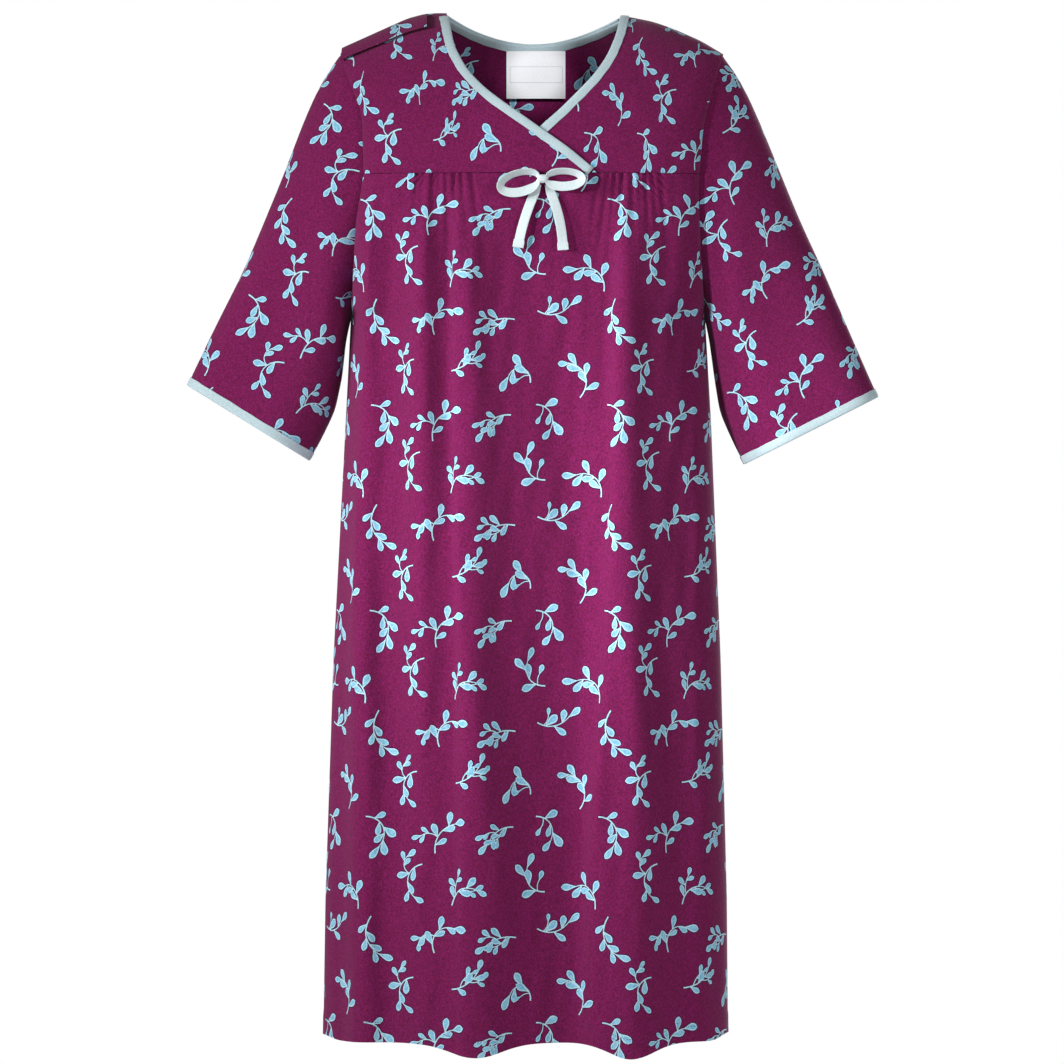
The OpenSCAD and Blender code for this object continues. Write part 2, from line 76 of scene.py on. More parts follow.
xl = smooth([[-1190, -235], [-1130, -234], [-1000, -232], [-730, -223], [-460, -209], [-340, -203], [-240, -197], [-185, -188], [-115, -190], [-85, -202], [-48, -215], [0, -232]])
xr = smooth([[-1190, 223], [-1130, 222], [-1000, 221], [-730, 214], [-460, 203], [-340, 196], [-275, 191], [-205, 188], [-135, 193], [-95, 202], [-48, 217], [0, 234]])
ridge = smooth([[-240, -59], [-215, -46], [-137, -11], [-115, -5.5], [-100, -4], [-60, -1], [0, 0], [60, -1], [106, -4], [137, -10], [160, -18], [192, -32], [217, -47], [240, -62]], 5.0)
over_edge = smooth([[-190, 79], [-184, 75], [-154, 38], [-132, 6], [-111, -24], [-90, -52], [-69, -72], [-42, -87], [-4, -95], [0, -96]], 6.0)
under_edge = smooth([[-190, -54], [-184, -48], [-160, -20], [-135, 8], [-114, 32], [-95, 51], [-73, 72], [-53, 86], [-27, 97], [-4, 102], [0, 103]], 6.0)
outer_free = smooth([[-1190, -150], [-460, -165], [-184, -180], [-115, -184], [-85, -196], [-46, -209], [0, -225]])
inner_free = smooth([[-1190, 120], [-460, 150], [-184, 168], [-115, 183], [-85, 192], [-46, 209], [0, 225]])


def midx(z): return (xl(z) + xr(z)) / 2
def half(z): return (xr(z) - xl(z)) / 2
def sst(a, b, t):
    k = np.clip((t - a) / (b - a), 0, 1)
    return k * k * (3 - 2 * k)
def bump(x, c, s): return np.exp(-((x - c) / s) ** 2)
def mix(a, b, t): return a + (b - a) * t
def prof(u): return np.clip(1 - u * u, 0, None) ** 0.45
def side_d(z):
    return np.where(z > ZS, ARMD, np.where(z > ZA, ARMD * np.sqrt(np.clip(1 - ((ZS - z) / (ZS - ZA)) ** 2, 0, None)), 0.0))
def f_depth(z): return 100 + 6 * sst(-184, -600, z) + 6 * sst(-600, -1150, z)
def b_depth(z): return 98 + 5 * sst(-184, -460, z) + 2 * sst(-460, -1150, z)


def folds_f(x, z):
    g, d = sst(-184, -330, z), sst(-330, -1000, z)
    return g * (7 * bump(x, -188, 17) + mix(9, 4, d) * bump(x, -122, 17) + mix(8, 15, d) * bump(x, mix(-68, -62, d), mix(18, 38, d))
                - mix(2, 4, d) * bump(x, mix(30, 40, d), 40) + mix(8, 14, d) * bump(x, mix(108, 122, d), mix(18, 27, d)) + 4 * bump(x, 205, 15))


def folds_b(x, z):
    g, d = sst(-184, -420, z), sst(-420, -1100, z)
    return g * (5 * bump(x, -165, 26) + mix(4, 8, d) * bump(x, -48, 34) + mix(3, 7, d) * bump(x, 40, 26) + 4 * bump(x, 160, 26))


def hem_f(x): return -HEM - 4 - 16 * bump(x, -62, 40) - 18 * bump(x, 112, 34) + 6 * bump(x, -235, 14) + 8 * bump(x, 222, 12)
def hem_b(x): return -HEM - 4 - 6 * bump(x, -48, 45) - 5 * bump(x, 60, 40) + 6 * bump(x, -235, 14) + 8 * bump(x, 222, 12)


def waves(x, z, seed, amp, wx, wz):
    """Small soft unevenness, longer downwards than across."""
    r = random.Random(seed)
    out = 0.0
    for _ in range(6):
        kx, kz = 2 * PI / (wx * r.uniform(0.6, 1.7)), 2 * PI / (wz * r.uniform(0.6, 1.7))
        out = out + np.sin(kx * x + kz * z * r.choice([-1, 1]) + r.uniform(0, 6.28)) * r.uniform(0.4, 1.0)
    return out * amp / 2.4


def skew(x, c, w1, w2):
    """A fold with one steep flank and one long one."""
    d = x - c
    return np.exp(-(d / np.where(d < 0, w1, w2)) ** 2)


_gr = random.Random(12)
GATHERS = []
for x0, x1, n in ((-131, -65, 8), (73, 150, 9)):
    for k in range(n):
        xk = x0 + (x1 - x0) * (k + 0.5) / n + _gr.uniform(-1.8, 1.8)
        lean = (xk - (x0 + x1) / 2) / (x1 - x0) * 0.22 + _gr.uniform(-0.05, 0.05)
        GATHERS.append((xk, lean, _gr.uniform(3.4, 5.8), _gr.uniform(38, 95)))


def fine_f(x, z):
    """Gathers sewn into the yoke seam, the folds they run out into, and small unevenness."""
    t = ZS - z
    out = 0.0
    for xk, lean, deep, run in GATHERS:
        out = out - deep * bump(x, xk + lean * t, 1.9 + t / 26.0) * np.exp(-(t / run) ** 1.3)
    puff = sst(-142, -118, x) * (1 - sst(-78, -56, x)) + sst(64, 84, x) * (1 - sst(138, 160, x))
    out = out + 2.2 * puff * np.exp(-t / 60.0)
    g = sst(6, 95, t)
    out = out + g * 10.5 * (1 - 0.5 * sst(620, 950, t)) * skew(x, -83 + 6 * sst(150, 700, t), 5.5, 44)
    out = out + g * 8.5 * (1 - 0.25 * sst(600, 900, t)) * skew(x, 101 - 6 * sst(0, 350, t) - 33 * sst(350, 950, t), 8.0, 62)
    out = out + g * 15.0 * (1 - 0.75 * sst(450, 800, t)) * skew(x, -126 + 2 * sst(0, 500, t), 26, 32)
    out = out + g * 19.0 * skew(x, -196, 12, 24) * (1 - 0.2 * sst(600, 950, t))
    out = out - sst(50, 330, t) * 15.0 * skew(x, 44 + 10 * sst(300, 750, t), 74, 34 - 20 * sst(350, 750, t))
    out = out + sst(140, 420, t) * 3.0 * skew(x, 188, 10, 26)
    return out + waves(x, z, 3, 1.5, 70, 420) * sst(0, 90, t) + waves(x, z, 5, 0.6, 34, 130) * sst(0, 40, t)


def front_xz(x, z, fine=True):
    u = np.clip(np.abs(x - midx(z)) / half(z), 0, 1)
    y = 0.3 + side_d(z) + (f_depth(z) - side_d(z)) * prof(u) + folds_f(x, z) * np.clip(4 * (1 - u), 0, 1)
    if fine:
        y = y + fine_f(x, z) * np.clip(11 * (1 - u), 0, 1)
    return np.stack([x + 0 * y, -y, z + 0 * y], -1)


def back_xz(x, z):
    u = np.clip(np.abs(x - midx(z)) / half(z), 0, 1)
    y = 0.3 + side_d(z) + (b_depth(z) - side_d(z)) * prof(u) + folds_b(x, z) * np.clip(4 * (1 - u), 0, 1)
    y = y + (waves(x, z, 11, 1.2, 80, 420) * sst(-184, -300, z) + waves(x, z, 12, 0.4, 36, 150)) * np.clip(6 * (1 - u), 0, 1) * sst(-60, -200, z)
    return np.stack([x + 0 * y, y, z + 0 * y], -1)


def top_z(x, v):
    r = ridge(x)
    return r - (SEAM + r) * (1 - np.cos(v * PI / 2))


def top_xv(x, v, dep, sg):
    z = top_z(x, v)
    u = np.clip(np.abs(x - midx(z)) / half(z), 0, 1)
    y = (0.0 + (ARMD + (dep - ARMD) * prof(u)) * np.sin(v * PI / 2)) + 0.3
    if sg < 0:
        y = y + waves(x, z, 21, 0.55, 60, 90) * sst(0.15, 0.5, v) * np.clip(6 * (1 - u), 0, 1)
    else:
        y = y + waves(x, z, 12, 0.4, 36, 150) * np.clip(6 * (1 - u), 0, 1) * sst(-60, -200, z)
    return np.stack([x + 0 * y, sg * y, z + 0 * y], -1)


def unit(a): return a / np.maximum(np.linalg.norm(a, axis=-1, keepdims=True), 1e-9)


def top_n(x, v, dep, sg):
    e = 0.01
    return sg * unit(np.cross(top_xv(x + 1, v, dep, sg) - top_xv(x - 1, v, dep, sg), top_xv(x, v + e, dep, sg) - top_xv(x, v - e, dep, sg)))


def over_off(x, z): return (LAP + 0.2) * sst(-80, -12, x) * (1 - 0.35 * sst(-150, -184, z))
def outer_off(x, z): return 4.6 * (1 - sst(-120, -60, x)) * (1 - sst(-120, -300, z))
def inner_off(x, z):
    return -LAP * np.maximum(sst(-120, -60, x), sst(-195, -160, x) * sst(-120, -300, z)) - sst(60, 120, x) * (1 - sst(-120, -300, z))


NA, NB = -98.0, 104.0
def neck_z(x):
    t = (x - (NA + NB) / 2) / ((NB - NA) / 2)
    return np.where(np.abs(t) >= 1, ridge(x), mix(ridge(x), -NECKD, 1 - t * t))
def neck_v(x):
    r = ridge(x)
    return np.arccos(np.clip(1 - (r - neck_z(x)) / (SEAM + r), -1, 1)) / (PI / 2)


def edge_v(fn, v, x0):
    for _ in range(4):
        x0 = fn(top_z(x0, v))
    return x0


def fy_n(x, v): return top_n(x, v, 100.0, -1)
def by_n(x, v): return top_n(x, v, 98.0, 1)
def bz_n(x, z):
    return unit(np.cross(back_xz(x + 1, z) - back_xz(x - 1, z), back_xz(x, z - 1) - back_xz(x, z + 1)))


# ------------------------------------------------------------------ printed leaves, as outlines in the plane of the cloth
def leaf(base, ang, L, W, grow=0.0, n=6, bend=0.0):
    """A paddle-shaped leaf from its base: narrow at the stem, round at the tip."""
    L2, W2 = L + 2 * grow, max(0.8, W + 2 * grow)
    pts = []
    for k in range(n + 1):
        t = 1 - (1 - k / n) ** 1.25
        pts.append((t, 0.5 * W2 * max(0.0, math.sin(PI * t ** 1.75)) ** 0.7 + (0.35 + max(0, grow)) * (1 - t) ** 2))
    ring = [(t, -h) for t, h in pts[:-1]] + [(1.0, 0.0)] + [(t, h) for t, h in reversed(pts[:-1])]
    c, s = math.cos(ang), math.sin(ang)
    out = []
    for t, h in ring:
        a, h = -grow + t * L2, h + bend * L * t * (1 - t)
        out.append((base[0] + a * c - h * s, base[1] + a * s + h * c))
    return out


def strip(path, w0, w1):
    left, right = [], []
    n = len(path) - 1
    for k, p in enumerate(path):
        a, b = path[max(0, k - 1)], path[min(n, k + 1)]
        dx, dy = b[0] - a[0], b[1] - a[1]
        d = math.hypot(dx, dy) or 1
        w = w0 + (w1 - w0) * k / n
        left.append((p[0] - dy / d * w / 2, p[1] + dx / d * w / 2))
        right.append((p[0] + dy / d * w / 2, p[1] - dx / d * w / 2))
    return right + left[::-1]


def sprig(seed):
    """One sprig: a curved stem with leaves to either side and a twig or two. Returns [(kind, polygon)]."""
    r = random.Random(seed * 77 + 5)
    shapes = []

    def put(q, ang, L, W, bend):
        shapes.append(("line", leaf(q, ang, L, W, 0.8, 6, bend)))
        shapes.append(("rim", leaf(q, ang, L, W, 0.0, 6, bend)))
        ox, oy = 0.17 * L * math.cos(ang), 0.17 * L * math.sin(ang)
        shapes.append(("fill", leaf((q[0] + ox, q[1] + oy), ang, L * 0.77, W * 0.7, 0.0, 5, bend)))

    def stem(start, ang, length, curl, n_leaf, big, w=1.5, first=0.2, tail=0.0):
        path, a, p = [start], ang, start
        steps = 10
        for k in range(steps):
            a += curl / steps * (1 + 0.9 * math.sin(PI * k / steps))
            p = (p[0] + length / steps * math.cos(a), p[1] + length / steps * math.sin(a))
            path.append(p)
        shapes.append(("line", strip(path, w + 1.4, 2.0)))
        shapes.append(("rim", strip(path, w, 0.9)))
        side = r.choice([-1, 1])
        for k in range(n_leaf):
            f = first + (0.97 - first - tail) * k / max(1, n_leaf - 1) if n_leaf > 1 else 0.95
            i = min(steps - 1, int(f * steps))
            g = f * steps - i
            q = (mix(path[i][0], path[i + 1][0], g), mix(path[i][1], path[i + 1][1], g))
            t = math.atan2(path[i + 1][1] - path[i][1], path[i + 1][0] - path[i][0])
            tip = k == n_leaf - 1
            ang2 = t + (r.uniform(0.05, 0.3) if tip else r.uniform(0.55, 0.95)) * side
            L = big * r.uniform(0.85, 1.12)
            put(q, ang2, L, L * r.uniform(0.42, 0.52), r.uniform(-0.12, 0.12))
            side = -side
        return path

    kind = seed % 4
    L = r.uniform(40, 47)
    turn = r.choice([-1, 1])
    curl = turn * r.uniform(0.6, 1.5)
    if kind == 0:
        stem((0, -L * 0.55), PI / 2 - curl / 2, L * 1.05, curl, 6, 15.0)
    elif kind == 1:
        p = stem((0, -L * 0.55), PI / 2 - curl / 2, L, curl, 5, 14.5)
        stem(p[4], PI / 2 - curl * 0.2 - 0.95 * turn, L * 0.46, -curl * 0.8, 3, 11.5, 1.1, 0.5)
    elif kind == 2:
        p = stem((0, -L * 0.5), PI / 2 - curl * 0.4, L * 0.9, curl * 0.8, 4, 14.0)
        stem(p[3], PI / 2 + 0.95, L * 0.44, -0.5, 3, 11.0, 1.1, 0.45)
        stem(p[6], PI / 2 - 0.9 + curl * 0.4, L * 0.3, 0.5, 2, 10.5, 1.1, 0.6)
    else:
        p = stem((0, -L * 0.45), PI / 2 - curl * 0.6, L * 0.85, curl * 1.25, 4, 16.0, 1.5, 0.25)
        stem(p[2], PI / 2 + 0.8 * turn, L * 0.26, 0.5 * turn, 1, 10.0, 1.0)
    return shapes


TW, TH = 296.0, 231.0
GROW = 1.1
_tr = random.Random(4)
TILE = []
for row in range(4):
    for c in range(4):
        TILE.append((c * 74 + (row % 2) * 37 + _tr.uniform(-9, 9), row * 57.75 + _tr.uniform(-8, 8), 2.4 * len(TILE) + _tr.uniform(-0.5, 0.5), len(TILE)))
SPRIGS = [sprig(k) for k in range(16)]
AREA = {"line": 1, "rim": 2, "fill": 3}


def print_on(u0, u1, v0, v1, du, dv):
    """Every printed outline whose sprig falls in a rectangle of cloth."""
    out = []
    for m in range(int((u0 - du) // TW) - 1, int((u1 - du) // TW) + 2):
        for n in range(int((v0 - dv) // TH) - 1, int((v1 - dv) // TH) + 2):
            for (x, y, a, k) in TILE:
                cx, cy = du + m * TW + x, dv + n * TH + y
                if cx < u0 - 40 or cx > u1 + 40 or cy < v0 - 40 or cy > v1 + 40:
                    continue
                c, s = math.cos(a), math.sin(a)
                for kind, poly in SPRIGS[k]:
                    out.append((kind, [(cx + GROW * (p[0] * c - p[1] * s), cy + GROW * (p[0] * s + p[1] * c)) for p in poly]))
    return out


# ------------------------------------------------------------------ materials
def srgb(r, g, b):
    f = lambda c: (c / 255 / 12.92) if c <= 10.3 else ((c / 255 + 0.055) / 1.055) ** 2.4
    return (f(r), f(g), f(b), 1.0)


def material(name, colors, scale, rough=0.9, sheen=0.25, bump_scale=900.0, bump=0.25, sub=0.0, spread=(0.35, 0.65), speck=None):
    m = bpy.data.materials.new(name)
    m.use_nodes = True
    nt = m.node_tree
    b = nt.nodes["Principled BSDF"]
    b.inputs["Roughness"].default_value = rough
    b.inputs["Sheen Weight"].default_value = sheen
    b.inputs["Sheen Roughness"].default_value = 0.5
    b.inputs["Specular IOR Level"].default_value = 0.2 if rough > 0.6 else 0.5
    tc = nt.nodes.new("ShaderNodeTexCoord")
    n1 = nt.nodes.new("ShaderNodeTexNoise")
    n1.inputs["Scale"].default_value = scale
    n1.inputs["Detail"].default_value = 3.0
    n1.inputs["Roughness"].default_value = 0.65
    nt.links.new(tc.outputs["Object"], n1.inputs["Vector"])
    ramp = nt.nodes.new("ShaderNodeValToRGB")
    ramp.color_ramp.elements[0].position = spread[0]
    ramp.color_ramp.elements[1].position = spread[1]
    ramp.color_ramp.elements[0].color = colors[0]
    ramp.color_ramp.elements[1].color = colors[-1]
    for k in range(1, len(colors) - 1):
        e = ramp.color_ramp.elements.new(mix(spread[0], spread[1], k / (len(colors) - 1)))
        e.color = colors[k]
    nt.links.new(n1.outputs["Fac"], ramp.inputs["Fac"])
    col = ramp.outputs["Color"]
    if speck:
        for (c, sc, lo, hi) in speck:
            n2 = nt.nodes.new("ShaderNodeTexNoise")
            n2.inputs["Scale"].default_value = sc
            n2.inputs["Detail"].default_value = 2.0
            nt.links.new(tc.outputs["Object"], n2.inputs["Vector"])
            r2 = nt.nodes.new("ShaderNodeMapRange")
            r2.inputs["From Min"].default_value = lo
            r2.inputs["From Max"].default_value = hi
            nt.links.new(n2.outputs["Fac"], r2.inputs["Value"])
            mx = nt.nodes.new("ShaderNodeMixRGB")
            mx.inputs["Color2"].default_value = c
            nt.links.new(r2.outputs["Result"], mx.inputs["Fac"])
            nt.links.new(col, mx.inputs["Color1"])
            col = mx.outputs["Color"]
    nt.links.new(col, b.inputs["Base Color"])
    if bump > 0:
        n3 = nt.nodes.new("ShaderNodeTexNoise")
        n3.inputs["Scale"].default_value = bump_scale
        n3.inputs["Detail"].default_value = 2.0
        nt.links.new(tc.outputs["Object"], n3.inputs["Vector"])
        bp = nt.nodes.new("ShaderNodeBump")
        bp.inputs["Strength"].default_value = bump
        bp.inputs["Distance"].default_value = 0.0006
        nt.links.new(n3.outputs["Fac"], bp.inputs["Height"])
        nt.links.new(bp.outputs["Normal"], b.inputs["Normal"])
    return m


KNIT = material("knit_plum", [srgb(96, 14, 62), srgb(118, 20, 80), srgb(136, 30, 98)], 520.0, 0.95, 0.10,
                speck=[(srgb(140, 20, 58), 700.0, 0.60, 0.74), (srgb(84, 32, 98), 610.0, 0.62, 0.76)])
LINE = material("print_outline", [srgb(36, 14, 58), srgb(50, 20, 72)], 400.0, 0.95, 0.05)
RIM = material("print_rim", [srgb(176, 218, 238), srgb(206, 236, 248)], 420.0, 0.9, 0.15)
FILL = material("print_fill", [srgb(112, 182, 220), srgb(138, 200, 230), srgb(160, 214, 238)], 330.0, 0.9, 0.15)
TAPE = material("binding_ice", [srgb(182, 206, 214), srgb(204, 224, 230)], 700.0, 0.85, 0.2, 1100.0, 0.3)
RIBBON = material("ribbon_ice", [srgb(206, 224, 229), srgb(228, 240, 243)], 800.0, 0.6, 0.3, 1300.0, 0.3)
THREAD = material("thread_plum", [srgb(104, 22, 74), srgb(120, 32, 90)], 900.0, 0.7, 0.2, bump=0)
THREAD_ICE = material("thread_ice", [srgb(206, 224, 230), srgb(224, 238, 242)], 900.0, 0.7, 0.2, bump=0)
SNAP = material("snap_plastic", [srgb(226, 230, 234), srgb(232, 236, 240)], 60.0, 0.3, 0.0, bump=0)
TAPE_PLUM = material("snap_tape_plum", [srgb(98, 22, 70), srgb(112, 30, 82)], 800.0, 0.9, 0.2, 1000.0, 0.3)
LABEL = material("label_white", [srgb(232, 233, 238), srgb(240, 241, 245)], 500.0, 0.55, 0.1, 1200.0, 0.12)
LABEL_LINE = material("label_frame", [srgb(176, 180, 188), srgb(186, 190, 198)], 500.0, 0.6, 0.0, bump=0)


# ------------------------------------------------------------------ meshes
def new_mesh(name, verts_mm, faces, mats, mat_index=None, normals=None, uv=None):
    me = bpy.data.meshes.new(name)
    v = np.asarray(verts_mm, float) / 1000.0
    me.from_pydata([tuple(p) for p in v], [], [tuple(int(i) for i in f) for f in faces])
    for m in mats:
        me.materials.append(m)
    if mat_index is not None:
        me.polygons.foreach_set("material_index", np.asarray(mat_index, np.int32))
    me.polygons.foreach_set("use_smooth", np.ones(len(me.polygons), bool))
    if uv is not None:
        layer = me.uv_layers.new(name="OFBake")
        layer.data.foreach_set("uv", np.asarray(uv, np.float32).ravel())
    me.update()
    if normals is not None:
        me.normals_split_custom_set_from_vertices([tuple(n) for n in normals])
    ob = bpy.data.objects.new(name, me)
    bpy.context.scene.collection.objects.link(ob)
    return ob


class Panel:
    """A piece of cloth: a grid of places in space and the flat cloth coordinates (mm) of each."""

    def __init__(self, P, UV, thick, N=None):
        self.P, self.UV = P, UV
        self.T = np.broadcast_to(thick, P.shape[:2]).copy()
        if N is None:
            du = np.gradient(P, axis=1)
            dv = np.gradient(P, axis=0)
            N = unit(np.cross(du, dv))
        self.N = N

    def at(self, A, i, j):
        R, C = A.shape[:2]
        i0 = np.clip(np.floor(i).astype(int), 0, R - 2)
        j0 = np.clip(np.floor(j).astype(int), 0, C - 2)
        fi, fj = i - i0, j - j0
        if A.ndim == 3:
            fi, fj = fi[:, None], fj[:, None]
        return (A[i0, j0] * (1 - fi) * (1 - fj) + A[i0 + 1, j0] * fi * (1 - fj) + A[i0, j0 + 1] * (1 - fi) * fj + A[i0 + 1, j0 + 1] * fi * fj)

    def locate(self, uv):
        """Grid coordinates of flat cloth points."""
        R, C = self.UV.shape[:2]
        si, sj = max(1, R // 90), max(1, C // 90)
        ii, jj = np.meshgrid(np.arange(0, R, si), np.arange(0, C, sj), indexing="ij")
        kd = kdtree.KDTree(ii.size)
        flat = self.UV[ii.ravel(), jj.ravel()]
        for k, p in enumerate(flat):
            kd.insert((p[0], p[1], 0), k)
        kd.balance()
        near = np.array([kd.find((p[0], p[1], 0))[1] for p in uv])
        i = ii.ravel()[near].astype(float)
        j = jj.ravel()[near].astype(float)
        for _ in range(9):
            F = self.at(self.UV, i, j)
            e = 0.5
            Fi = (self.at(self.UV, np.minimum(i + e, R - 1), j) - self.at(self.UV, np.maximum(i - e, 0), j)) / (np.minimum(i + e, R - 1) - np.maximum(i - e, 0))[:, None]
            Fj = (self.at(self.UV, i, np.minimum(j + e, C - 1)) - self.at(self.UV, i, np.maximum(j - e, 0))) / (np.minimum(j + e, C - 1) - np.maximum(j - e, 0))[:, None]
            D = uv - F
            det = Fi[:, 0] * Fj[:, 1] - Fi[:, 1] * Fj[:, 0]
            det = np.where(np.abs(det) < 1e-9, 1e-9, det)
            di = (D[:, 0] * Fj[:, 1] - D[:, 1] * Fj[:, 0]) / det
            dj = (Fi[:, 0] * D[:, 1] - Fi[:, 1] * D[:, 0]) / det
            i = np.clip(i + np.clip(di, -si * 2, si * 2), 0, R - 1)
            j = np.clip(j + np.clip(dj, -sj * 2, sj * 2), 0, C - 1)
        return i, j

    def build(self, name, rs, cs, shift=(0, 0), dense=None, printed=True, mats=None, flip=False):
        R, C = self.UV.shape[:2]
        UV = self.UV
        bi = [(0, j) for j in range(0, C - 1, max(1, cs // 2 or 1))]
        bi += [(i, C - 1) for i in range(0, R - 1, max(1, rs // 2 or 1))]
        bi += [(R - 1, j) for j in range(C - 1, 0, -max(1, cs // 2 or 1))]
        bi += [(i, 0) for i in range(R - 1, 0, -max(1, rs // 2 or 1))]
        ring = [tuple(UV[i, j]) for i, j in bi]
        area = sum(ring[k - 1][0] * ring[k][1] - ring[k][0] * ring[k - 1][1] for k in range(len(ring))) / 2
        if area < 0:
            ring.reverse()
        self.area = abs(area)
        verts = list(ring)
        faces = [list(range(len(ring)))]
        kinds = [0]
        if printed:
            u0, v0 = UV.reshape(-1, 2).min(0)
            u1, v1 = UV.reshape(-1, 2).max(0)
            for kind, poly in print_on(u0, u1, v0, v1, shift[0], shift[1]):
                k = len(verts)
                verts.extend(poly)
                a = sum(poly[m - 1][0] * poly[m][1] - poly[m][0] * poly[m - 1][1] for m in range(len(poly)))
                ids = list(range(k, k + len(poly)))
                faces.append(ids if a > 0 else ids[::-1])
                kinds.append(AREA[kind])
        rows = set(range(rs, R - 1, rs))
        pts = [(i, j) for i in rows for j in range(cs, C - 1, cs)]
        if dense:
            i1, rs2, cs2 = dense
            pts += [(i, j) for i in range(rs2, i1, rs2) for j in range(cs2, C - 1, cs2) if not (i in rows and j % cs == 0)]
        verts.extend(tuple(UV[i, j]) for i, j in pts)
        ov, oe, of, _, _, ids = delaunay_2d_cdt([Vector(p) for p in verts], [], faces, 1, 1e-4, True)
        uv = np.array([(p[0], p[1]) for p in ov])
        tri, cls = [], []
        for f, own in zip(of, ids):
            if 0 not in own:
                continue
            tri.append(f[:3])
            cls.append(max(kinds[k] for k in own))
        tri = np.array(tri)
        cls = np.array(cls)
        used = np.unique(tri)
        remap = -np.ones(len(uv), int)
        remap[used] = np.arange(len(used))
        uv, tri = uv[used], remap[tri]
        i, j = self.locate(uv)
        P, N, T = self.at(self.P, i, j), unit(self.at(self.N, i, j)), self.at(self.T, i, j)
        if flip:
            N = -N
        g = np.cross(P[tri[:, 1]] - P[tri[:, 0]], P[tri[:, 2]] - P[tri[:, 0]])
        if (g * N[tri[:, 0]]).sum() < 0:
            tri = tri[:, ::-1]
        n = len(P)
        V = np.concatenate([P + N * T[:, None] / 2, P - N * T[:, None] / 2])
        E = np.concatenate([tri[:, [0, 1]], tri[:, [1, 2]], tri[:, [2, 0]]])
        key = np.sort(E, 1)
        _, inv, cnt = np.unique(key[:, 0] * n + key[:, 1], return_inverse=True, return_counts=True)
        rim = E[cnt[inv] == 1]
        nr = len(rim)
        allf = [tuple(t) for t in tri] + [tuple(t[::-1] + n) for t in tri] + [(b, a, a + n, b + n) for a, b in rim]
        mi = np.concatenate([cls, cls, np.zeros(nr, int)])
        lo, hi = uv.min(0), uv.max(0)
        w = (uv - lo) / (hi - lo)
        L = []
        f1 = np.stack([0.005 + 0.488 * w[:, 0], 0.02 + 0.97 * w[:, 1]], 1)
        f2 = np.stack([0.507 + 0.488 * w[:, 0], 0.02 + 0.97 * w[:, 1]], 1)
        L.append(f1[tri].reshape(-1, 2))
        L.append(f2[tri[:, ::-1]].reshape(-1, 2))
        k = np.arange(nr)
        x0, x1 = 0.005 + 0.99 * k / nr, 0.005 + 0.99 * (k + 1) / nr
        q = np.stack([np.stack([x1, 0 * x1 + 0.004], 1), np.stack([x0, 0 * x0 + 0.004], 1), np.stack([x0, 0 * x0 + 0.012], 1), np.stack([x1, 0 * x1 + 0.012], 1)], 1)
        L.append(q.reshape(-1, 2))
        ob = new_mesh(name, V, allf, mats or [KNIT, LINE, RIM, FILL], mi, np.concatenate([N, -N]), np.concatenate(L))
        ob["flat_w"], ob["flat_l"], ob["flat_a"] = float(hi[0] - lo[0]), float(hi[1] - lo[1]), float(self.area)
        print("PIECE", name, "verts", len(V), "faces", len(allf), "flat mm", [round(float(x)) for x in hi - lo], "area", round(self.area))
        return ob


def tube(name, rings, mats, closed_profile=True, loop=False, caps=True, uv=True):
    """A profile carried along a path: rings is R x M x 3."""
    R, M = rings.shape[:2]
    V = rings.reshape(-1, 3)
    F, L = [], []
    rr = R if loop else R - 1
    mm = M if closed_profile else M - 1
    for k in range(rr):
        for m in range(mm):
            a, b = k * M + m, k * M + (m + 1) % M
            c, d = ((k + 1) % R) * M + (m + 1) % M, ((k + 1) % R) * M + m
            F.append((a, b, c, d))
            u0, u1, v0, v1 = k / rr, (k + 1) / rr, m / mm, (m + 1) / mm
            L += [(0.01 + 0.98 * u0, 0.01 + 0.9 * v0), (0.01 + 0.98 * u0, 0.01 + 0.9 * v1), (0.01 + 0.98 * u1, 0.01 + 0.9 * v1), (0.01 + 0.98 * u1, 0.01 + 0.9 * v0)]
    if caps and not loop:
        for k, order in ((0, 1), (R - 1, -1)):
            ids = [k * M + m for m in range(M)]
            ids = ids[::-1] if order == 1 else ids
            F.append(tuple(ids))
            cx = 0.1 if k == 0 else 0.3
            for t in range(M):
                a = 2 * PI * t / M
                L.append((cx + 0.03 * math.cos(a), 0.955 + 0.03 * math.sin(a)))
    ob = new_mesh(name, V, F, mats, None, None, L)
    import bmesh
    bm = bmesh.new()
    bm.from_mesh(ob.data)
    bmesh.ops.recalc_face_normals(bm, faces=bm.faces)
    bm.to_mesh(ob.data)
    bm.free()
    return ob


def stitches(name, paths, mat, gap=3.4, length=2.5, w=0.55, h=0.4):
    """Rows of thread: paths is a list of (points, normals), each N x 3."""
    V, F = [], []
    for P, N in paths:
        P, N = np.asarray(P, float), np.asarray(N, float)
        d = np.concatenate([[0], np.cumsum(np.linalg.norm(np.diff(P, axis=0), axis=1))])
        s = 1.5
        while s + length < d[-1] - 1:
            q = [np.array([np.interp(s + f * length, d, P[:, c]) for c in range(3)]) for f in (0, 0.5, 1)]
            n = unit(np.array([np.interp(s + length / 2, d, N[:, c]) for c in range(3)]))
            t = unit(q[2] - q[0])
            b = np.cross(n, t)
            k = len(V)
            for p, lift in ((q[0], -0.15), (q[1], h), (q[2], -0.15)):
                V += [p + b * w / 2 + n * (lift * 0.4), p + n * lift, p - b * w / 2 + n * (lift * 0.4)]
            for a in (0, 1):
                for c in (0, 1):
                    F.append((k + 3 * a + c, k + 3 * a + c + 1, k + 3 * a + 4 + c, k + 3 * a + 3 + c))
            s += gap
    ob = new_mesh(name, np.array(V), F, [mat])
    return ob


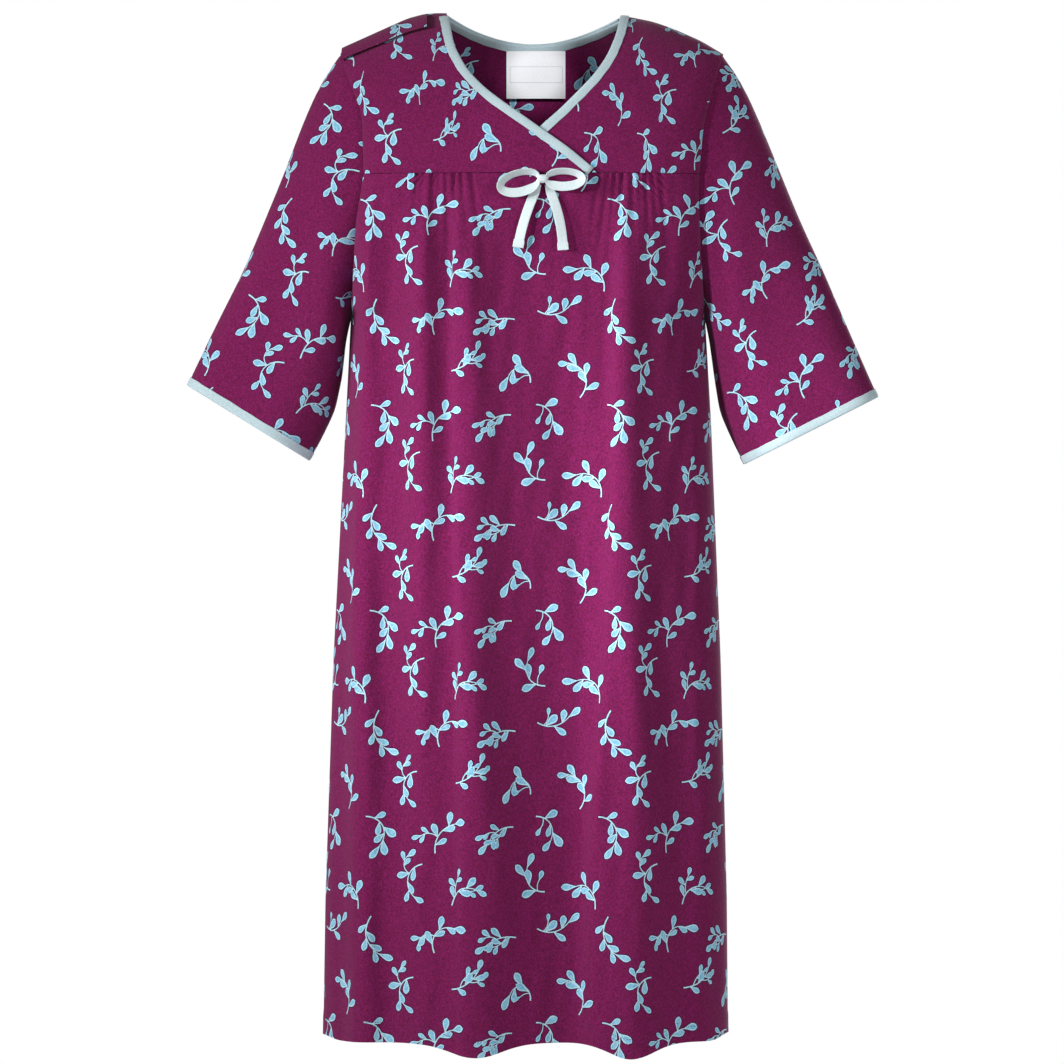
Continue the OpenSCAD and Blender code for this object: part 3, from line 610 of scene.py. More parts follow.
# ------------------------------------------------------------------ cloth panels
def x_arc(z, sg):
    """Tables from x to distance along the cloth across the body at height z, from the middle."""
    s = np.linspace(-1, 1, 601)
    x = midx(z) + half(z) * np.sin(s * PI / 2)
    P = front_xz(x, np.full_like(x, z)) if sg < 0 else back_xz(x, np.full_like(x, z))
    d = np.concatenate([[0], np.cumsum(np.linalg.norm(np.diff(P, axis=0), axis=1))])
    m = np.interp(0.0, x, d)
    return x, d - m


def v_arc(x, v, dep, sg, n=36):
    """Distance along the cloth from the yoke seam's height up to v, at constant x."""
    t = np.linspace(0, 1, n)
    vv = v[..., None] + (1 - v[..., None]) * t
    P = top_xv(np.broadcast_to(x[..., None], vv.shape), vv, dep, sg)
    return np.linalg.norm(np.diff(P, axis=-2), axis=-1).sum(-1)


def longer(x, u, by=60.0, slope=1.25):
    """The same table carried on past both ends, for the cloth that is wider than the seam."""
    return np.concatenate([[x[0] - by], x, [x[-1] + by]]), np.concatenate([[u[0] - by * slope], u, [u[-1] + by * slope]])


XF, UF = longer(*x_arc(ZS - 0.01, -1))
XB, UB = longer(*x_arc(ZS - 0.01, 1))
S = 1


def dip(dist, depth=0.9, w=2.2): return depth * np.exp(-(dist / w) ** 2)


# --- front yokes
def yoke(name, ea, eb, x0a, x0b, off, print_shift):
    R, C = 120, 130
    v = (np.linspace(0, 1, R) * 0.9985)[:, None] + np.zeros((1, C))
    xa = edge_v(ea, v[:, 0], x0a(v[:, 0]))
    xb = edge_v(eb, v[:, 0], x0b(v[:, 0]))
    a = np.linspace(0, 1, C)[None, :]
    x = mix(xa[:, None], xb[:, None], a)
    z = top_z(x, v)
    N = fy_n(x, v)
    V = v_arc(x, v, 100.0, -1)
    U = np.interp(x, XF, UF)
    d = off(x, z) - dip(V, 1.0, 2.0)
    if off is over_off:
        d = d + outer_off(x, z) * (1 - sst(0.0, 0.12, v)) * sst(-124, -113, x)
    P = top_xv(x, v, 100.0, -1) + N * d[..., None]
    return Panel(P, np.stack([U, V], -1), 0.95)


yr = yoke("y", xl, over_edge, lambda v: -200 + 0 * v, lambda v: -95 + 160 * v, over_off, None)
yl = yoke("y", under_edge, xr, lambda v: 102 - 140 * v, lambda v: 200 + 0 * v, lambda x, z: 0 * x, None)
front_yoke_right = yr.build("front_yoke_right_cloth", 4 * S, 4 * S, (31, 40), flip=False)
front_yoke_left = yl.build("front_yoke_left_cloth", 4 * S, 4 * S, (118, 86), flip=False)

# --- front skirt with its hem
R, C = 300, 230
sgrid = np.linspace(-1, 1, C)
x1 = midx(-1130.0) + half(-1130.0) * np.sin(sgrid * PI / 2)
zb = hem_f(x1)
tb = np.linspace(0, 1, R)[:, None]
Z = mix(ZS - 0.3, zb[None, :], tb)
X = midx(Z) + half(Z) * np.sin(sgrid[None, :] * PI / 2)
from_hem = Z - zb[None, :]
Pf = front_xz(X, Z)
Nf = unit(np.cross(np.gradient(Pf, axis=0), np.gradient(Pf, axis=1)))
if (Nf[..., 1].mean()) > 0:
    Nf = -Nf
groove = dip(np.abs(from_hem - 22.5), 0.35, 0.9) + dip(np.abs(from_hem - 17.5), 0.35, 0.9)
ds = -dip(ZS - Z, 1.0, 2.0) - groove + 0.25 * (1 - sst(23.5, 25.5, from_hem))
Pf = Pf + Nf * ds[..., None]
Uf = np.zeros((R, C))
step = np.linalg.norm(np.diff(front_xz(X, Z, True), axis=1), axis=2)
Uf[:, 1:] = np.cumsum(step, axis=1)
mid_col = np.array([np.interp(0.0, X[i], Uf[i]) for i in range(R)])
Uf = Uf - mid_col[:, None]
skirt = Panel(Pf, np.stack([Uf, Z + SEAM], -1), np.where(from_hem < 24, 1.6, 0.95), Nf)
front_skirt = skirt.build("front_skirt_cloth", 6 * S, 2 * S, (64, 12), dense=(46, 3, S), flip=False)


# --- back panels, from the neck and shoulders to the hem
def back_panel(ea, eb, inner):
    R1, R2, C = 110, 300, 200
    a = np.linspace(0, 1, C)[None, :]
    w = np.linspace(0, 1, R1)
    xa, xb = edge_v(ea, w, -200 + 0 * w), edge_v(eb, w, 200 + 0 * w)
    x = mix(xa[:, None], xb[:, None], a)
    v = mix(np.maximum(0.0, neck_v(x)), 1.0, w[:, None])
    z = top_z(x, v)
    off = inner_off(x, z) if inner else outer_off(x, z)
    P1 = top_xv(x, v, 98.0, 1) + by_n(x, v) * off[..., None]
    U1, V1 = np.interp(x, XB, UB), v_arc(x, v, 98.0, 1)
    t = np.linspace(0, 1, R2)[1:, None]
    zn = mix(ZS, -HEM, t)
    m, h = midx(zn), half(zn)

    def cross(z):
        m, h, xa, xb = midx(z), half(z), ea(z), eb(z)
        pa, pb = np.arcsin(np.clip((xa - m) / h, -1, 1)), np.arcsin(np.clip((xb - m) / h, -1, 1))
        r = m + h * np.sin(mix(pa, pb, a))
        return mix(mix(xa, xb, a), r, sst(ZS, ZA, z))
    xn = cross(zn + 0 * a)
    zh = hem_b(cross(np.full((1, C), -HEM)))
    z2 = mix(ZS, zh, t)
    x2 = cross(z2)
    P2 = back_xz(x2, z2)
    n2 = bz_n(x2, z2)
    o2 = inner_off(x2, z2) if inner else 0 * x2
    P2 = P2 + n2 * o2[..., None]
    stepx = np.linalg.norm(np.diff(back_xz(x2, z2), axis=1), axis=2)
    U2 = np.zeros_like(x2)
    U2[:, 1:] = np.cumsum(stepx, axis=1)
    U2 -= np.array([np.interp(0.0, x2[i], U2[i]) for i in range(len(x2))])[:, None]
    P, X_, Z_ = np.concatenate([P1, P2]), np.concatenate([x, x2]), np.concatenate([z, z2])
    U, V = np.concatenate([U1, U2]), np.concatenate([V1, z2 + SEAM])
    N = unit(np.cross(np.gradient(P, axis=0), np.gradient(P, axis=1)))
    if N[..., 1].mean() < 0:
        N = -N
    fh = Z_ - zh
    edge = np.abs((X_ - (X_[:, -1:] if inner else X_[:, :1])))
    groove = dip(np.abs(fh - 22.5), 0.35, 0.9) + dip(np.abs(fh - 17.5), 0.35, 0.9) + dip(np.abs(edge - 14), 0.3, 0.9) * sst(-60, -140, Z_)
    d = -groove + 0.25 * (1 - sst(23.5, 25.5, fh))
    P = P + N * d[..., None]
    th = np.where(fh < 24, 1.6, 0.95)
    th = np.maximum(th, np.where((edge < 15) & (Z_ < -60), 1.4, 0.95))
    return Panel(P, np.stack([U, V], -1), th, N), X_, Z_, fh, edge


bo, BOX, BOZ, BOH, BOE = back_panel(outer_free, xr, False)
bi, BIX, BIZ, BIH, BIE = back_panel(xl, inner_free, True)
back_outer = bo.build("back_outer_cloth", 5 * S, 4 * S, (20, 55), flip=False)
back_inner = bi.build("back_inner_cloth", 5 * S, 4 * S, (150, 130), flip=False)

# --- shoulder flap
R, C = 40, 90
vf = 24 / 90
w = np.linspace(0, 1, R)[:, None]
x = np.linspace(-211.5, -116.5, C)[None, :] + 0 * w
vv = mix(0.0, vf, w) + 0 * x
N = fy_n(x, np.maximum(vv, 0.0))
lift = 4.7 - 0.5 * sst(0.6, 1.0, w) + 0.35 * np.sin((x + 211) / 95 * PI * 2.4 + 0.6) * sst(0.3, 1, w) + 0.6 * sst(-128, -116, x) * sst(0.2, 1, w)
Pl = top_xv(x, vv, 100.0, -1) + N * lift[..., None]
flap = Panel(Pl, np.stack([np.interp(x, XF, UF), v_arc(x, vv, 100.0, -1)], -1), 1.5)
if flap.N[..., 2].mean() < 0:
    flap.N = -flap.N
shoulder_flap = flap.build("shoulder_flap_cloth", 3 * S, 3 * S, (70, 10))

# ------------------------------------------------------------------ sleeves
R_OUT = [[0, -216, -47], [0.08, -239, -82], [0.2, -257, -124], [0.35, -278, -180], [0.5, -301, -236], [0.65, -326, -295], [0.8, -355, -352], [0.92, -377, -398], [1, -391, -427]]
R_IN = [[0, -204.5, -341], [0.3, -210, -375], [0.55, -214, -412], [0.75, -222, -450], [0.9, -240, -487], [1, -253, -509]]
L_OUT = [[0, 218, -48], [0.08, 242, -85], [0.2, 260, -128], [0.35, 281, -180], [0.5, 304, -236], [0.65, 330, -292], [0.8, 354, -348], [0.92, 380, -408], [1, 395, -441]]
L_IN = [[0, 197.5, -341], [0.3, 203, -378], [0.55, 208, -415], [0.75, 214, -452], [0.9, 230, -488], [1, 243.5, -514]]


def sm_path(lst, k):
    xs = np.array([p[0] for p in lst], float) * 400
    f = smooth([[a, p[k]] for a, p in zip(xs, lst)], 14.0)
    e0, e1 = lst[0][k] - f(0.0), lst[-1][k] - f(400.0)
    return lambda s: f(s * 400) + e0 * np.exp(-(s / 0.06) ** 2) + e1 * np.exp(-((1 - s) / 0.06) ** 2)


def armhole_y(edge, x0, z, front):
    """Depth of the body's armhole edge at each height, for the sleeve's root to meet."""
    v = np.linspace(0, 1, 80)
    x = edge_v(edge, v, x0 + 0 * v)
    za, ya = top_z(x, v), np.abs(top_xv(x, v, 100.0 if front else 98.0, -1 if front else 1)[..., 1])
    order = np.argsort(za)
    return np.where(z > ZS, np.interp(z, za[order], ya[order]), 0.3 + side_d(np.minimum(z, ZS)))


def sleeve_fn(lo, li, edge, seed):
    ox, oz, ix, iz = sm_path(lo, 1), sm_path(lo, 2), sm_path(li, 1), sm_path(li, 2)
    sg = math.copysign(1, lo[0][1])
    O0, I0 = np.array([lo[0][1], 0, lo[0][2]], float), np.array([li[0][1], 0, li[0][2]], float)
    C0 = I0 + (O0 - I0) * 0.534

    def fn(s, f, detail=True):
        o = np.stack([ox(s), 0 * s, oz(s)], -1)
        i = np.stack([ix(s), 0 * s, iz(s)], -1)
        c = mix(i, o, mix(0.534, 0.5, np.clip(s / 0.4, 0, 1))[..., None])
        h = np.where((np.cos(f) > 0)[..., None], o - c, c - i)
        d = mix(ARMD, 42.0, sst(0, 0.8, s)) * (1 + 0.05 * np.sin(PI * s))
        q = c + h * np.cos(f)[..., None]
        h0 = np.where((np.cos(f) > 0)[..., None], O0 - C0, C0 - I0)
        q0 = C0 + h0 * np.cos(f)[..., None]
        near = np.clip(1 - s / 0.3, 0, None) ** 2
        bow = (edge(q0[..., 2]) - sg * 0.6 - q0[..., 0]) * near
        meet = np.where(np.sin(f) > 0, armhole_y(edge, sg * 200.0, q0[..., 2], True), armhole_y(edge, sg * 200.0, q0[..., 2], False))
        extra = 0.0
        if detail:
            r = random.Random(seed)
            for _ in range(4):
                k, ph, am, tw = r.choice([2, 3, 4, 5]), r.uniform(0, 6.28), r.uniform(1.0, 2.3), r.uniform(-2.5, 2.5)
                extra = extra + am * np.sin(k * f + tw * s + ph) * sst(0.04, 0.35, s) * (1 - 0.3 * s)
            extra = extra * np.abs(np.sin(f)) ** 0.7
        y = -np.sin(f) * (d + 4 * sst(0.1, 0.5, s) * (0.5 + 0.5 * np.sin(3 * f + math.radians(40))) + extra)
        y = y + (-np.sign(np.sin(f)) * meet + np.sin(f) * ARMD) * near
        return np.stack([q[..., 0] + bow, y, q[..., 2]], -1)
    return fn


def sleeve(name, lo, li, edge, axis, seed, sgn, shift):
    fn = sleeve_fn(lo, li, edge, seed)
    R, C = 150, 200
    s = (np.linspace(0, 1, R) ** 1.0 * 0.982)[:, None] + np.zeros((1, C))
    f = np.linspace(-PI, PI, C)[None, :] + np.zeros((R, 1))
    ff = f * sgn
    P = fn(s, ff)
    V = P @ axis
    dP = np.diff(P, axis=1)
    dV = np.diff(V, axis=1)
    dU = np.sqrt(np.clip((dP ** 2).sum(-1) - dV ** 2, 1e-6, None))
    U = np.zeros((R, C))
    U[:, 1:] = np.cumsum(dU, axis=1)
    U -= (U[:, C // 2 - 1:C // 2] + U[:, C // 2:C // 2 + 1]) / 2
    N = unit(np.cross(np.gradient(P, axis=1), np.gradient(P, axis=0)))
    c = P.mean(1, keepdims=True)
    if ((P - c) * N).sum() < 0:
        N = -N
    P = P - N * dip(np.linalg.norm(P - P[:1], axis=-1), 0.9, 2.0)[..., None]
    pan = Panel(P, np.stack([U, -V], -1), 0.95, N)
    ob = pan.build(name, 4 * S, 4 * S, shift)
    return ob, fn


AR = np.array([-175.0, 0, -380.0]); AR /= np.linalg.norm(AR)
AL = np.array([177.0, 0, -393.0]); AL /= np.linalg.norm(AL)
sleeve_right, fn_r = sleeve("sleeve_right_cloth", R_OUT, R_IN, xl, AR, 31, 1, (12, 80))
sleeve_left, fn_l = sleeve("sleeve_left_cloth", L_OUT, L_IN, xr, AL, 36, -1, (90, 20))


# ------------------------------------------------------------------ folded bindings
def u_ring(w):
    """Section of the folded tape: a runs from the fold into the cloth, b across the layers."""
    t, r = 0.62, 1.42
    out = [(w - 1.4, r - 0.12), (w - 1.0, r - 0.35), (w - 1.4, r - t)]
    inner = [(w - 3.0, 0.78), (2.0, 0.78), (0.6, 0.62), (0.15, 0.0), (0.6, -0.62), (2.0, -0.78), (w - 3.0, -0.78)]
    back = [(w - 1.4, -r + t), (w - 1.0, -r + 0.35), (w - 1.4, -r + 0.12)]
    outer2 = [(w - 2.4, -r), (w - 3.1, -r + 0.16), (w - 3.8, -r), (4.5, -r - 0.1), (1.2, -r), (0.0, -r + 0.25), (-0.9, -0.75), (-1.25, 0.0), (-0.9, 0.75), (0.0, r - 0.25), (1.2, r), (4.5, r + 0.1), (w - 3.8, r), (w - 3.1, r - 0.16), (w - 2.4, r)]
    return np.array(out[:1] + out[1:] + inner + back + outer2) - np.array([0.0, 0.0])


def binding(name, E, T, N, into, w=10.0, loop=False, seed=1):
    A = unit(np.cross(N, T))
    sgn = np.sign((A * into).sum(-1).mean())
    A = A * sgn
    A = unit(A)
    N = unit(N - A * (N * A).sum(-1, keepdims=True))
    k = np.arange(len(E))
    wob = 1 + 0.02 * np.sin(k * 0.9 + seed) + 0.015 * np.sin(k * 0.37 + 2 * seed)
    prof_ = u_ring(w)
    rings = E[:, None, :] + A[:, None, :] * (prof_[None, :, 0:1] * wob[:, None, None]) + N[:, None, :] * (prof_[None, :, 1:2] * (1 + 0.06 * np.sin(k * 0.61 + seed))[:, None, None])
    ob = tube(name, rings, [TAPE], loop=loop)
    length = np.linalg.norm(np.diff(E, axis=0), axis=1).sum() + (np.linalg.norm(E[0] - E[-1]) if loop else 0)
    ob["flat_w"], ob["flat_l"], ob["flat_a"] = 2 * w + 4.0, float(length), float((2 * w + 4.0) * length)
    st = stitches(name + "_stitches", [(E + A * (w - 3.1) + N * 1.27, N)] + ([(E + A * (w - 3.1) - N * 1.27, -N)]), THREAD_ICE, 2.9, 2.1, 0.42, 0.3)
    return ob, st


n = 90
v = np.linspace(0, 0.985, n)
xe = edge_v(over_edge, v, -95 + 160 * v)
Ne = fy_n(xe, v)
E = top_xv(xe, v, 100.0, -1) + Ne * over_off(xe, top_z(xe, v))[:, None]
neck_right, neck_right_st = binding("neck_binding_right_tape", E, unit(np.gradient(E, axis=0)), Ne, np.array([-1.0, 0, -0.4]), seed=2)
v = np.linspace(0, 0.90, n)
xe = edge_v(under_edge, v, 102 - 140 * v)
Ne = fy_n(xe, v)
E = top_xv(xe, v, 100.0, -1)
neck_left, neck_left_st = binding("neck_binding_left_tape", E, unit(np.gradient(E, axis=0)), Ne, np.array([1.0, 0, -0.4]), seed=5)


def back_binding(name, inner, xa, xb, seed):
    x = np.linspace(xa, xb, 80)
    v = neck_v(x)
    z = top_z(x, v)
    off = inner_off(x, z) if inner else outer_off(x, z)
    Nn = by_n(x, v)
    E = top_xv(x, v, 98.0, 1) + Nn * off[:, None]
    return binding(name, E, unit(np.gradient(E, axis=0)), Nn, np.array([0.0, 0.3, -1.0]), seed=seed)


back_bind_outer, back_bind_outer_st = back_binding("back_neck_binding_outer_tape", False, NA + 1, NB - 5, 3)
back_bind_inner, back_bind_inner_st = back_binding("back_neck_binding_inner_tape", True, NA + 5, NB - 1, 4)


def cuff(name, fn, seed):
    f = np.linspace(0, 2 * PI, 121)[:-1]
    s = np.full_like(f, 0.982)
    E = fn(s, f)
    A = unit(fn(s - 0.03, f) - E)
    T = unit(np.roll(E, -1, 0) - np.roll(E, 1, 0))
    Nn = unit(np.cross(A, T))
    c = E.mean(0)
    if ((E - c) * Nn).sum() < 0:
        Nn = -Nn
    return binding(name, E, T, Nn, A, loop=True, seed=seed)


cuff_right, cuff_right_st = cuff("cuff_binding_right_tape", fn_r, 6)
cuff_left, cuff_left_st = cuff("cuff_binding_left_tape", fn_l, 7)

# ------------------------------------------------------------------ bow
BX, BZ = 13.0, -191.0
BY = -0.3 - 60 - 40 - 0.0 - 7 + 0.09


def ribbon(name, P, Wd, width, thick=0.8):
    P, Wd = np.asarray(P, float), unit(np.asarray(Wd, float))
    T = unit(np.gradient(P, axis=0))
    Wd = unit(Wd - T * (Wd * T).sum(-1, keepdims=True))
    Nn = np.cross(T, Wd)
    sec = [(-0.5, 0), (-0.47, -0.4), (-0.44, -0.5), (-0.2, -0.42), (0.2, -0.42), (0.44, -0.5), (0.47, -0.4), (0.5, 0), (0.47, 0.4), (0.44, 0.5), (0.2, 0.42), (-0.2, 0.42), (-0.44, 0.5), (-0.47, 0.4)]
    w = np.broadcast_to(width, (len(P),))
    rings = np.stack([P + Wd * (a * w)[:, None] + Nn * (b * thick) for a, b in sec], 1)
    ob = tube(name, rings, [RIBBON])
    length = np.linalg.norm(np.diff(P, axis=0), axis=1).sum()
    ob["flat_w"], ob["flat_l"], ob["flat_a"] = 10.0, float(length), float(10.0 * length)
    return ob


def loop_path(sg, ln, dz, a0, n=70):
    f = np.linspace(0, 1, n)
    g = 2 * PI * f
    x = BX + sg * (5.0 + (ln + 2.2) * (1 - np.cos(g)) / 2)
    y = mix(BY + 1.0, BY - 1.0, sst(0.2, 0.8, f)) - 2.5 * np.sin(PI * f)
    z = BZ + 1.5 * np.cos(PI * f) + dz * np.sin(g) + a0 * (1 - np.cos(g)) / 2
    P = np.stack([x, y, z], -1)
    T = unit(np.gradient(P, axis=0))
    nrm = unit(np.cross(T, np.array([0, 1.0, 0])))
    tw = 0.8 - 0.16 * np.sin(2 * PI * f)
    Wd = unit(nrm * (tw * sg)[:, None] - np.array([0, 1.0, 0]) * np.sqrt(1 - tw ** 2)[:, None])
    return P, Wd, mix(5.6, 11.0, sst(0, 0.16, f) * (1 - sst(0.84, 1, f)))


P, Wd, wd = loop_path(-1, 40, 10, -8)
bow_loop_left = ribbon("bow_loop_left_ribbon", P, Wd, wd)
P, Wd, wd = loop_path(1, 37, 7.5, 0)
bow_loop_right = ribbon("bow_loop_right_ribbon", P, Wd, wd)
f = np.linspace(0, 1, 60)
endw = 11 * (1 + 0.14 * sst(0.87, 0.9, f)) * mix(0.62, 1.0, sst(0, 0.14, f))
P = np.stack([BX - 4.2 - 23.4 * f - 12 * f * (1 - f), BY + 4 - 2 * np.sin(PI * f) - 4 * f + 0.5 * np.sin(7 * f), BZ - 5.6 - 71.4 * f], -1)
bow_tail_left = ribbon("bow_tail_right_ribbon", P, np.stack([1 + 0 * f, -0.25 * np.sin(PI * f), -0.5 + 0 * f], -1), endw)
P = np.stack([BX + 5.2 + 17.9 * f + 4 * np.sin(PI * f), BY + 4 - 2 * np.sin(PI * f) - 4 * f + 0.5 * np.sin(8 * f), BZ - 5.6 - 74.4 * f], -1)
bow_tail_right = ribbon("bow_tail_left_ribbon", P, np.stack([1 + 0 * f, 0.25 * np.sin(PI * f), 0.3 + 0 * f], -1), endw)
# the knot: a short wrap of ribbon round the middle
th = np.linspace(0, 2 * PI, 29)[:-1]
ks = np.linspace(-1, 1, 15)
rings = []
for k in ks:
    squeeze = (1 - abs(k) ** 2.6) ** 0.5 if abs(k) < 1 else 0.0
    r1, r2 = 4.1 * (0.25 + 0.75 * squeeze), 4.9 * (0.25 + 0.75 * squeeze)
    rings.append(np.stack([BX + 6.2 * k + 0.6 * np.sin(th), BY + r1 * np.cos(th) * (1 + 0.05 * np.cos(5 * th)), BZ + r2 * np.sin(th)], -1))
bow_knot = tube("bow_knot_ribbon", np.array(rings), [RIBBON])

# ------------------------------------------------------------------ label, blank, with a plain name box
LY = 48.1333
R, C = 30, 36
lx = np.linspace(5.5 - 33.5, 5.5 + 33.5, C)[None, :] + np.zeros((R, 1))
lz = np.linspace(-41, -95, R)[:, None] + np.zeros((1, C))
ly = LY + 0.25 * np.sin((lx + 28) / 67 * PI) * ((-41 - lz) / 54)
lab = Panel(np.stack([lx, ly, lz], -1), np.stack([lx, lz], -1), 0.45)
if lab.N[..., 1].mean() > 0:
    lab.N = -lab.N
label = lab.build("label_cloth", 4, 4, printed=False, mats=[LABEL])


def bar(x0, x1, z0, z1):
    yy = lambda x, z: LY + 0.25 * math.sin((x + 28) / 67 * PI) * ((-41 - z) / 54)
    out = []
    for (x, z) in ((x0, z0), (x1, z0), (x1, z1), (x0, z1)):
        out.append((x, yy(x, z) - 0.29, z))
    return out


V, F = [], []
for (x0, x1, z0, z1) in ((-24, 36, -59, -58.5), (-24, 36, -77, -76.5), (-24, -23.5, -77, -58.5), (35.5, 36, -77, -58.5)):
    k = len(V)
    V += bar(x0, x1, z0, z1)
    F.append((k, k + 1, k + 2, k + 3))
label_frame = new_mesh("label_name_box", np.array(V), F, [LABEL_LINE])


# ------------------------------------------------------------------ stitching on the hems and free edges
def row(pan, i_of_col=None, cols=None, vals=None, target=None, side=1.0):
    """Points along a panel where a field has a value, going across its columns."""
    pts, nrm = [], []
    R, C = pan.P.shape[:2]
    for j in range(2, C - 2):
        col = vals[:, j]
        i = np.interp(-target, -col, np.arange(R))
        pts.append(pan.at(pan.P, np.array([i]), np.array([float(j)]))[0])
        nrm.append(unit(pan.at(pan.N, np.array([i]), np.array([float(j)])))[0])
    pts, nrm = np.array(pts), np.array(nrm)
    return pts + nrm * side * 0.82, nrm * side


def side_row(pan, edge, target, i0, i1, last, side=1.0, lift=0.72):
    pts, nrm = [], []
    C = pan.P.shape[1]
    for i in range(i0, i1, 2):
        e = edge[i]
        j = np.interp(target, e[::-1], np.arange(C)[::-1]) if last else np.interp(target, e, np.arange(C))
        pts.append(pan.at(pan.P, np.array([float(i)]), np.array([j]))[0])
        nrm.append(unit(pan.at(pan.N, np.array([float(i)]), np.array([j])))[0])
    pts, nrm = np.array(pts), np.array(nrm)
    return pts + nrm * side * lift, nrm * side


front_hem_st = stitches("front_hem_stitches", [row(skirt, vals=from_hem, target=22.5), row(skirt, vals=from_hem, target=17.5)], THREAD)
i0 = 60
outer_st = stitches("back_outer_stitches", [row(bo, vals=BOH, target=22.5), row(bo, vals=BOH, target=17.5), side_row(bo, BOE, 14, i0, 404, False)], THREAD)
inner_st = stitches("back_inner_stitches", [row(bi, vals=BIH, target=22.5, side=1.0), row(bi, vals=BIH, target=17.5, side=1.0), side_row(bi, BIE, 14, i0, 404, True)], THREAD)
# round the flap's front edge and ends
pts, nrm = [], []
for (i, j) in [(i, 3) for i in range(8, 37)] + [(36, j) for j in range(4, 86)] + [(i, 86) for i in range(36, 7, -1)]:
    pts.append(flap.P[i, j] + flap.N[i, j] * 0.78)
    nrm.append(flap.N[i, j])
flap_st = stitches("shoulder_flap_stitches", [(np.array(pts), np.array(nrm))], THREAD, 3.2, 2.3, 0.45, 0.3)

# ------------------------------------------------------------------ bodies, hidden CAD parts, materials of the remaining CAD pieces
for ob in (front_yoke_right, front_yoke_left, front_skirt, front_hem_st, neck_right, neck_right_st, neck_left, neck_left_st,
           back_bind_outer, back_bind_outer_st, back_bind_inner, back_bind_inner_st, bow_knot, bow_loop_left, bow_loop_right):
    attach(ob, "body")
for ob, b in ((label, "label_tab"), (label_frame, "label_tab"), (bow_tail_left, "tail_r"), (bow_tail_right, "tail_l"),
              (cuff_right, "sleeve_r"), (cuff_right_st, "sleeve_r"), (cuff_left, "sleeve_l"), (cuff_left_st, "sleeve_l")):
    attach(ob, b)
for ob in (back_outer, outer_st):
    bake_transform(ob)
for ob in (back_inner, inner_st):
    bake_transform(ob)
for ob in (shoulder_flap, flap_st):
    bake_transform(ob)
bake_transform(sleeve_right)
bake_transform(sleeve_left)

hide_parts("front_yoke_right")
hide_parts("front_yoke_left")
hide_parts("front_skirt", "front_hem")
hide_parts("back_outer_upper", "back_outer_mid", "back_outer_low", "back_outer_hem")
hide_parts("back_inner_upper", "back_inner_mid", "back_inner_low", "back_inner_hem")
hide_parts("neck_binding_right")
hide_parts("neck_binding_left")
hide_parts("back_neck_binding_outer")
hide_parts("back_neck_binding_inner")
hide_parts("shoulder_flap")
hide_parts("sleeve_right")
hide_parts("sleeve_left")
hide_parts("cuff_binding_right")
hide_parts("cuff_binding_left")
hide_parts("bow_knot")
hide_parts("bow_loop_left")
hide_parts("bow_loop_right")
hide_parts("bow_tail_left")
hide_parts("bow_tail_right")
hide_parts("label")
for n, o in NODES.items():
    if not o.hide_render:
        o.data.materials.clear()
        o.data.materials.append(TAPE_PLUM if "tape" in n else SNAP)

# ------------------------------------------------------------------ floor, lights, camera
sc = bpy.context.scene
me = bpy.data.meshes.new("floor")
nseg = 64
me.from_pydata([(1.25 * math.cos(2 * PI * k / nseg), 1.25 * math.sin(2 * PI * k / nseg), -1.40) for k in range(nseg)], [], [tuple(range(nseg))])
floor = bpy.data.objects.new("floor", me)
sc.collection.objects.link(floor)
fm = bpy.data.materials.new("floor_pale")
fm.use_nodes = True
fm.node_tree.nodes["Principled BSDF"].inputs["Base Color"].default_value = (0.82, 0.82, 0.82, 1)
fm.node_tree.nodes["Principled BSDF"].inputs["Roughness"].default_value = 0.9
me.materials.append(fm)

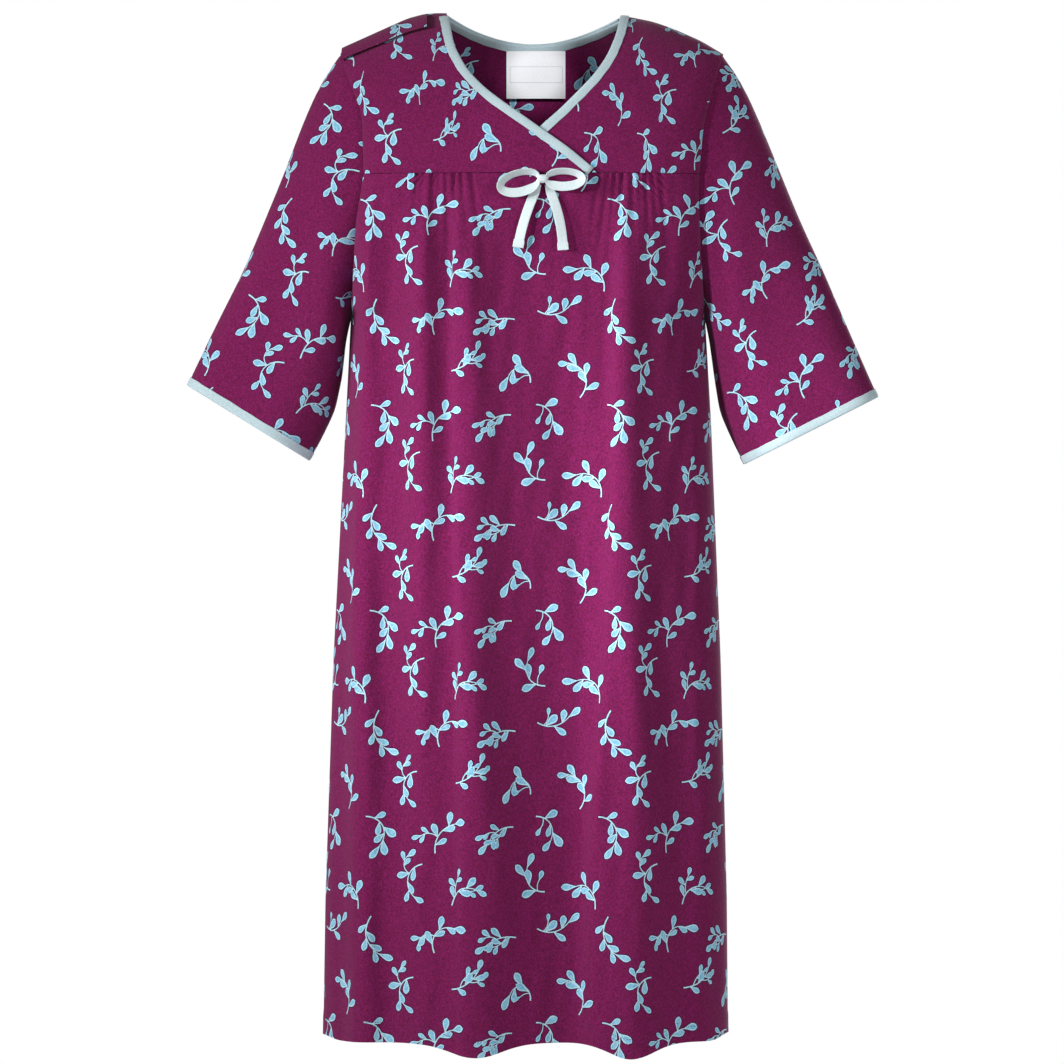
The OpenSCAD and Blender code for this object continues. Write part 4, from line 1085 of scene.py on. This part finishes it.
world = bpy.data.worlds.new("studio")
sc.world = world
world.use_nodes = True
nt = world.node_tree
bg = nt.nodes["Background"]
bg.inputs["Color"].default_value = (1, 1, 1, 1)
bg.inputs["Strength"].default_value = 0.17
bg2 = nt.nodes.new("ShaderNodeBackground")
bg2.inputs["Color"].default_value = (1, 1, 1, 1)
bg2.inputs["Strength"].default_value = 1.0
lp = nt.nodes.new("ShaderNodeLightPath")
mxs = nt.nodes.new("ShaderNodeMixShader")
nt.links.new(lp.outputs["Is Camera Ray"], mxs.inputs["Fac"])
nt.links.new(bg.outputs["Background"], mxs.inputs[1])
nt.links.new(bg2.outputs["Background"], mxs.inputs[2])
nt.links.new(mxs.outputs["Shader"], nt.nodes["World Output"].inputs["Surface"])


def area(name, loc, aim, size, power):
    l = bpy.data.lights.new(name, "AREA")
    l.shape = "RECTANGLE"
    l.size, l.size_y = size
    l.energy = power
    o = bpy.data.objects.new(name, l)
    o.location = loc
    o.rotation_mode = "QUATERNION"
    o.rotation_quaternion = (Vector(aim) - Vector(loc)).to_track_quat("-Z", "Y")
    sc.collection.objects.link(o)
    return o


area("key", (-5.2, -2.5, 0.9), (0, 0, -0.55), (0.8, 1.6), 212)
area("fill", (3.8, -4.6, 0.2), (0, 0, -0.6), (2.2, 2.2), 108)
area("rim_back", (1.8, 4.2, 1.0), (0, 0, -0.5), (1.6, 1.6), 150)


def spot(name, loc, aim, energy, deg, blend, soft):
    l = bpy.data.lights.new(name, "SPOT")
    l.energy = energy
    l.spot_size = math.radians(deg)
    l.spot_blend = blend
    l.shadow_soft_size = soft
    o = bpy.data.objects.new(name, l)
    o.location = loc
    o.rotation_mode = "QUATERNION"
    o.rotation_quaternion = (Vector(aim) - Vector(loc)).to_track_quat("-Z", "Y")
    sc.collection.objects.link(o)


spot("label_spot", (0.15, -3.2, 0.12), (0.0055, 0.048, -0.068), 330, 1.55, 0.25, 0.02)
spot("right_side", (-4.4, -4.2, 0.4), (0.34, -0.05, -0.58), 1800, 10.5, 1.0, 0.3)

cam = bpy.data.cameras.new("camera")
cam.sensor_width = 36.0
cam.lens = 362.0
cam.clip_end = 60
co = bpy.data.objects.new("camera", cam)
co.location = (0.0011, -12.10, -0.587)
co.rotation_euler = (PI / 2, 0, 0)
sc.collection.objects.link(co)
sc.camera = co
sc.view_settings.view_transform = "Standard"
sc.view_settings.look = "None"
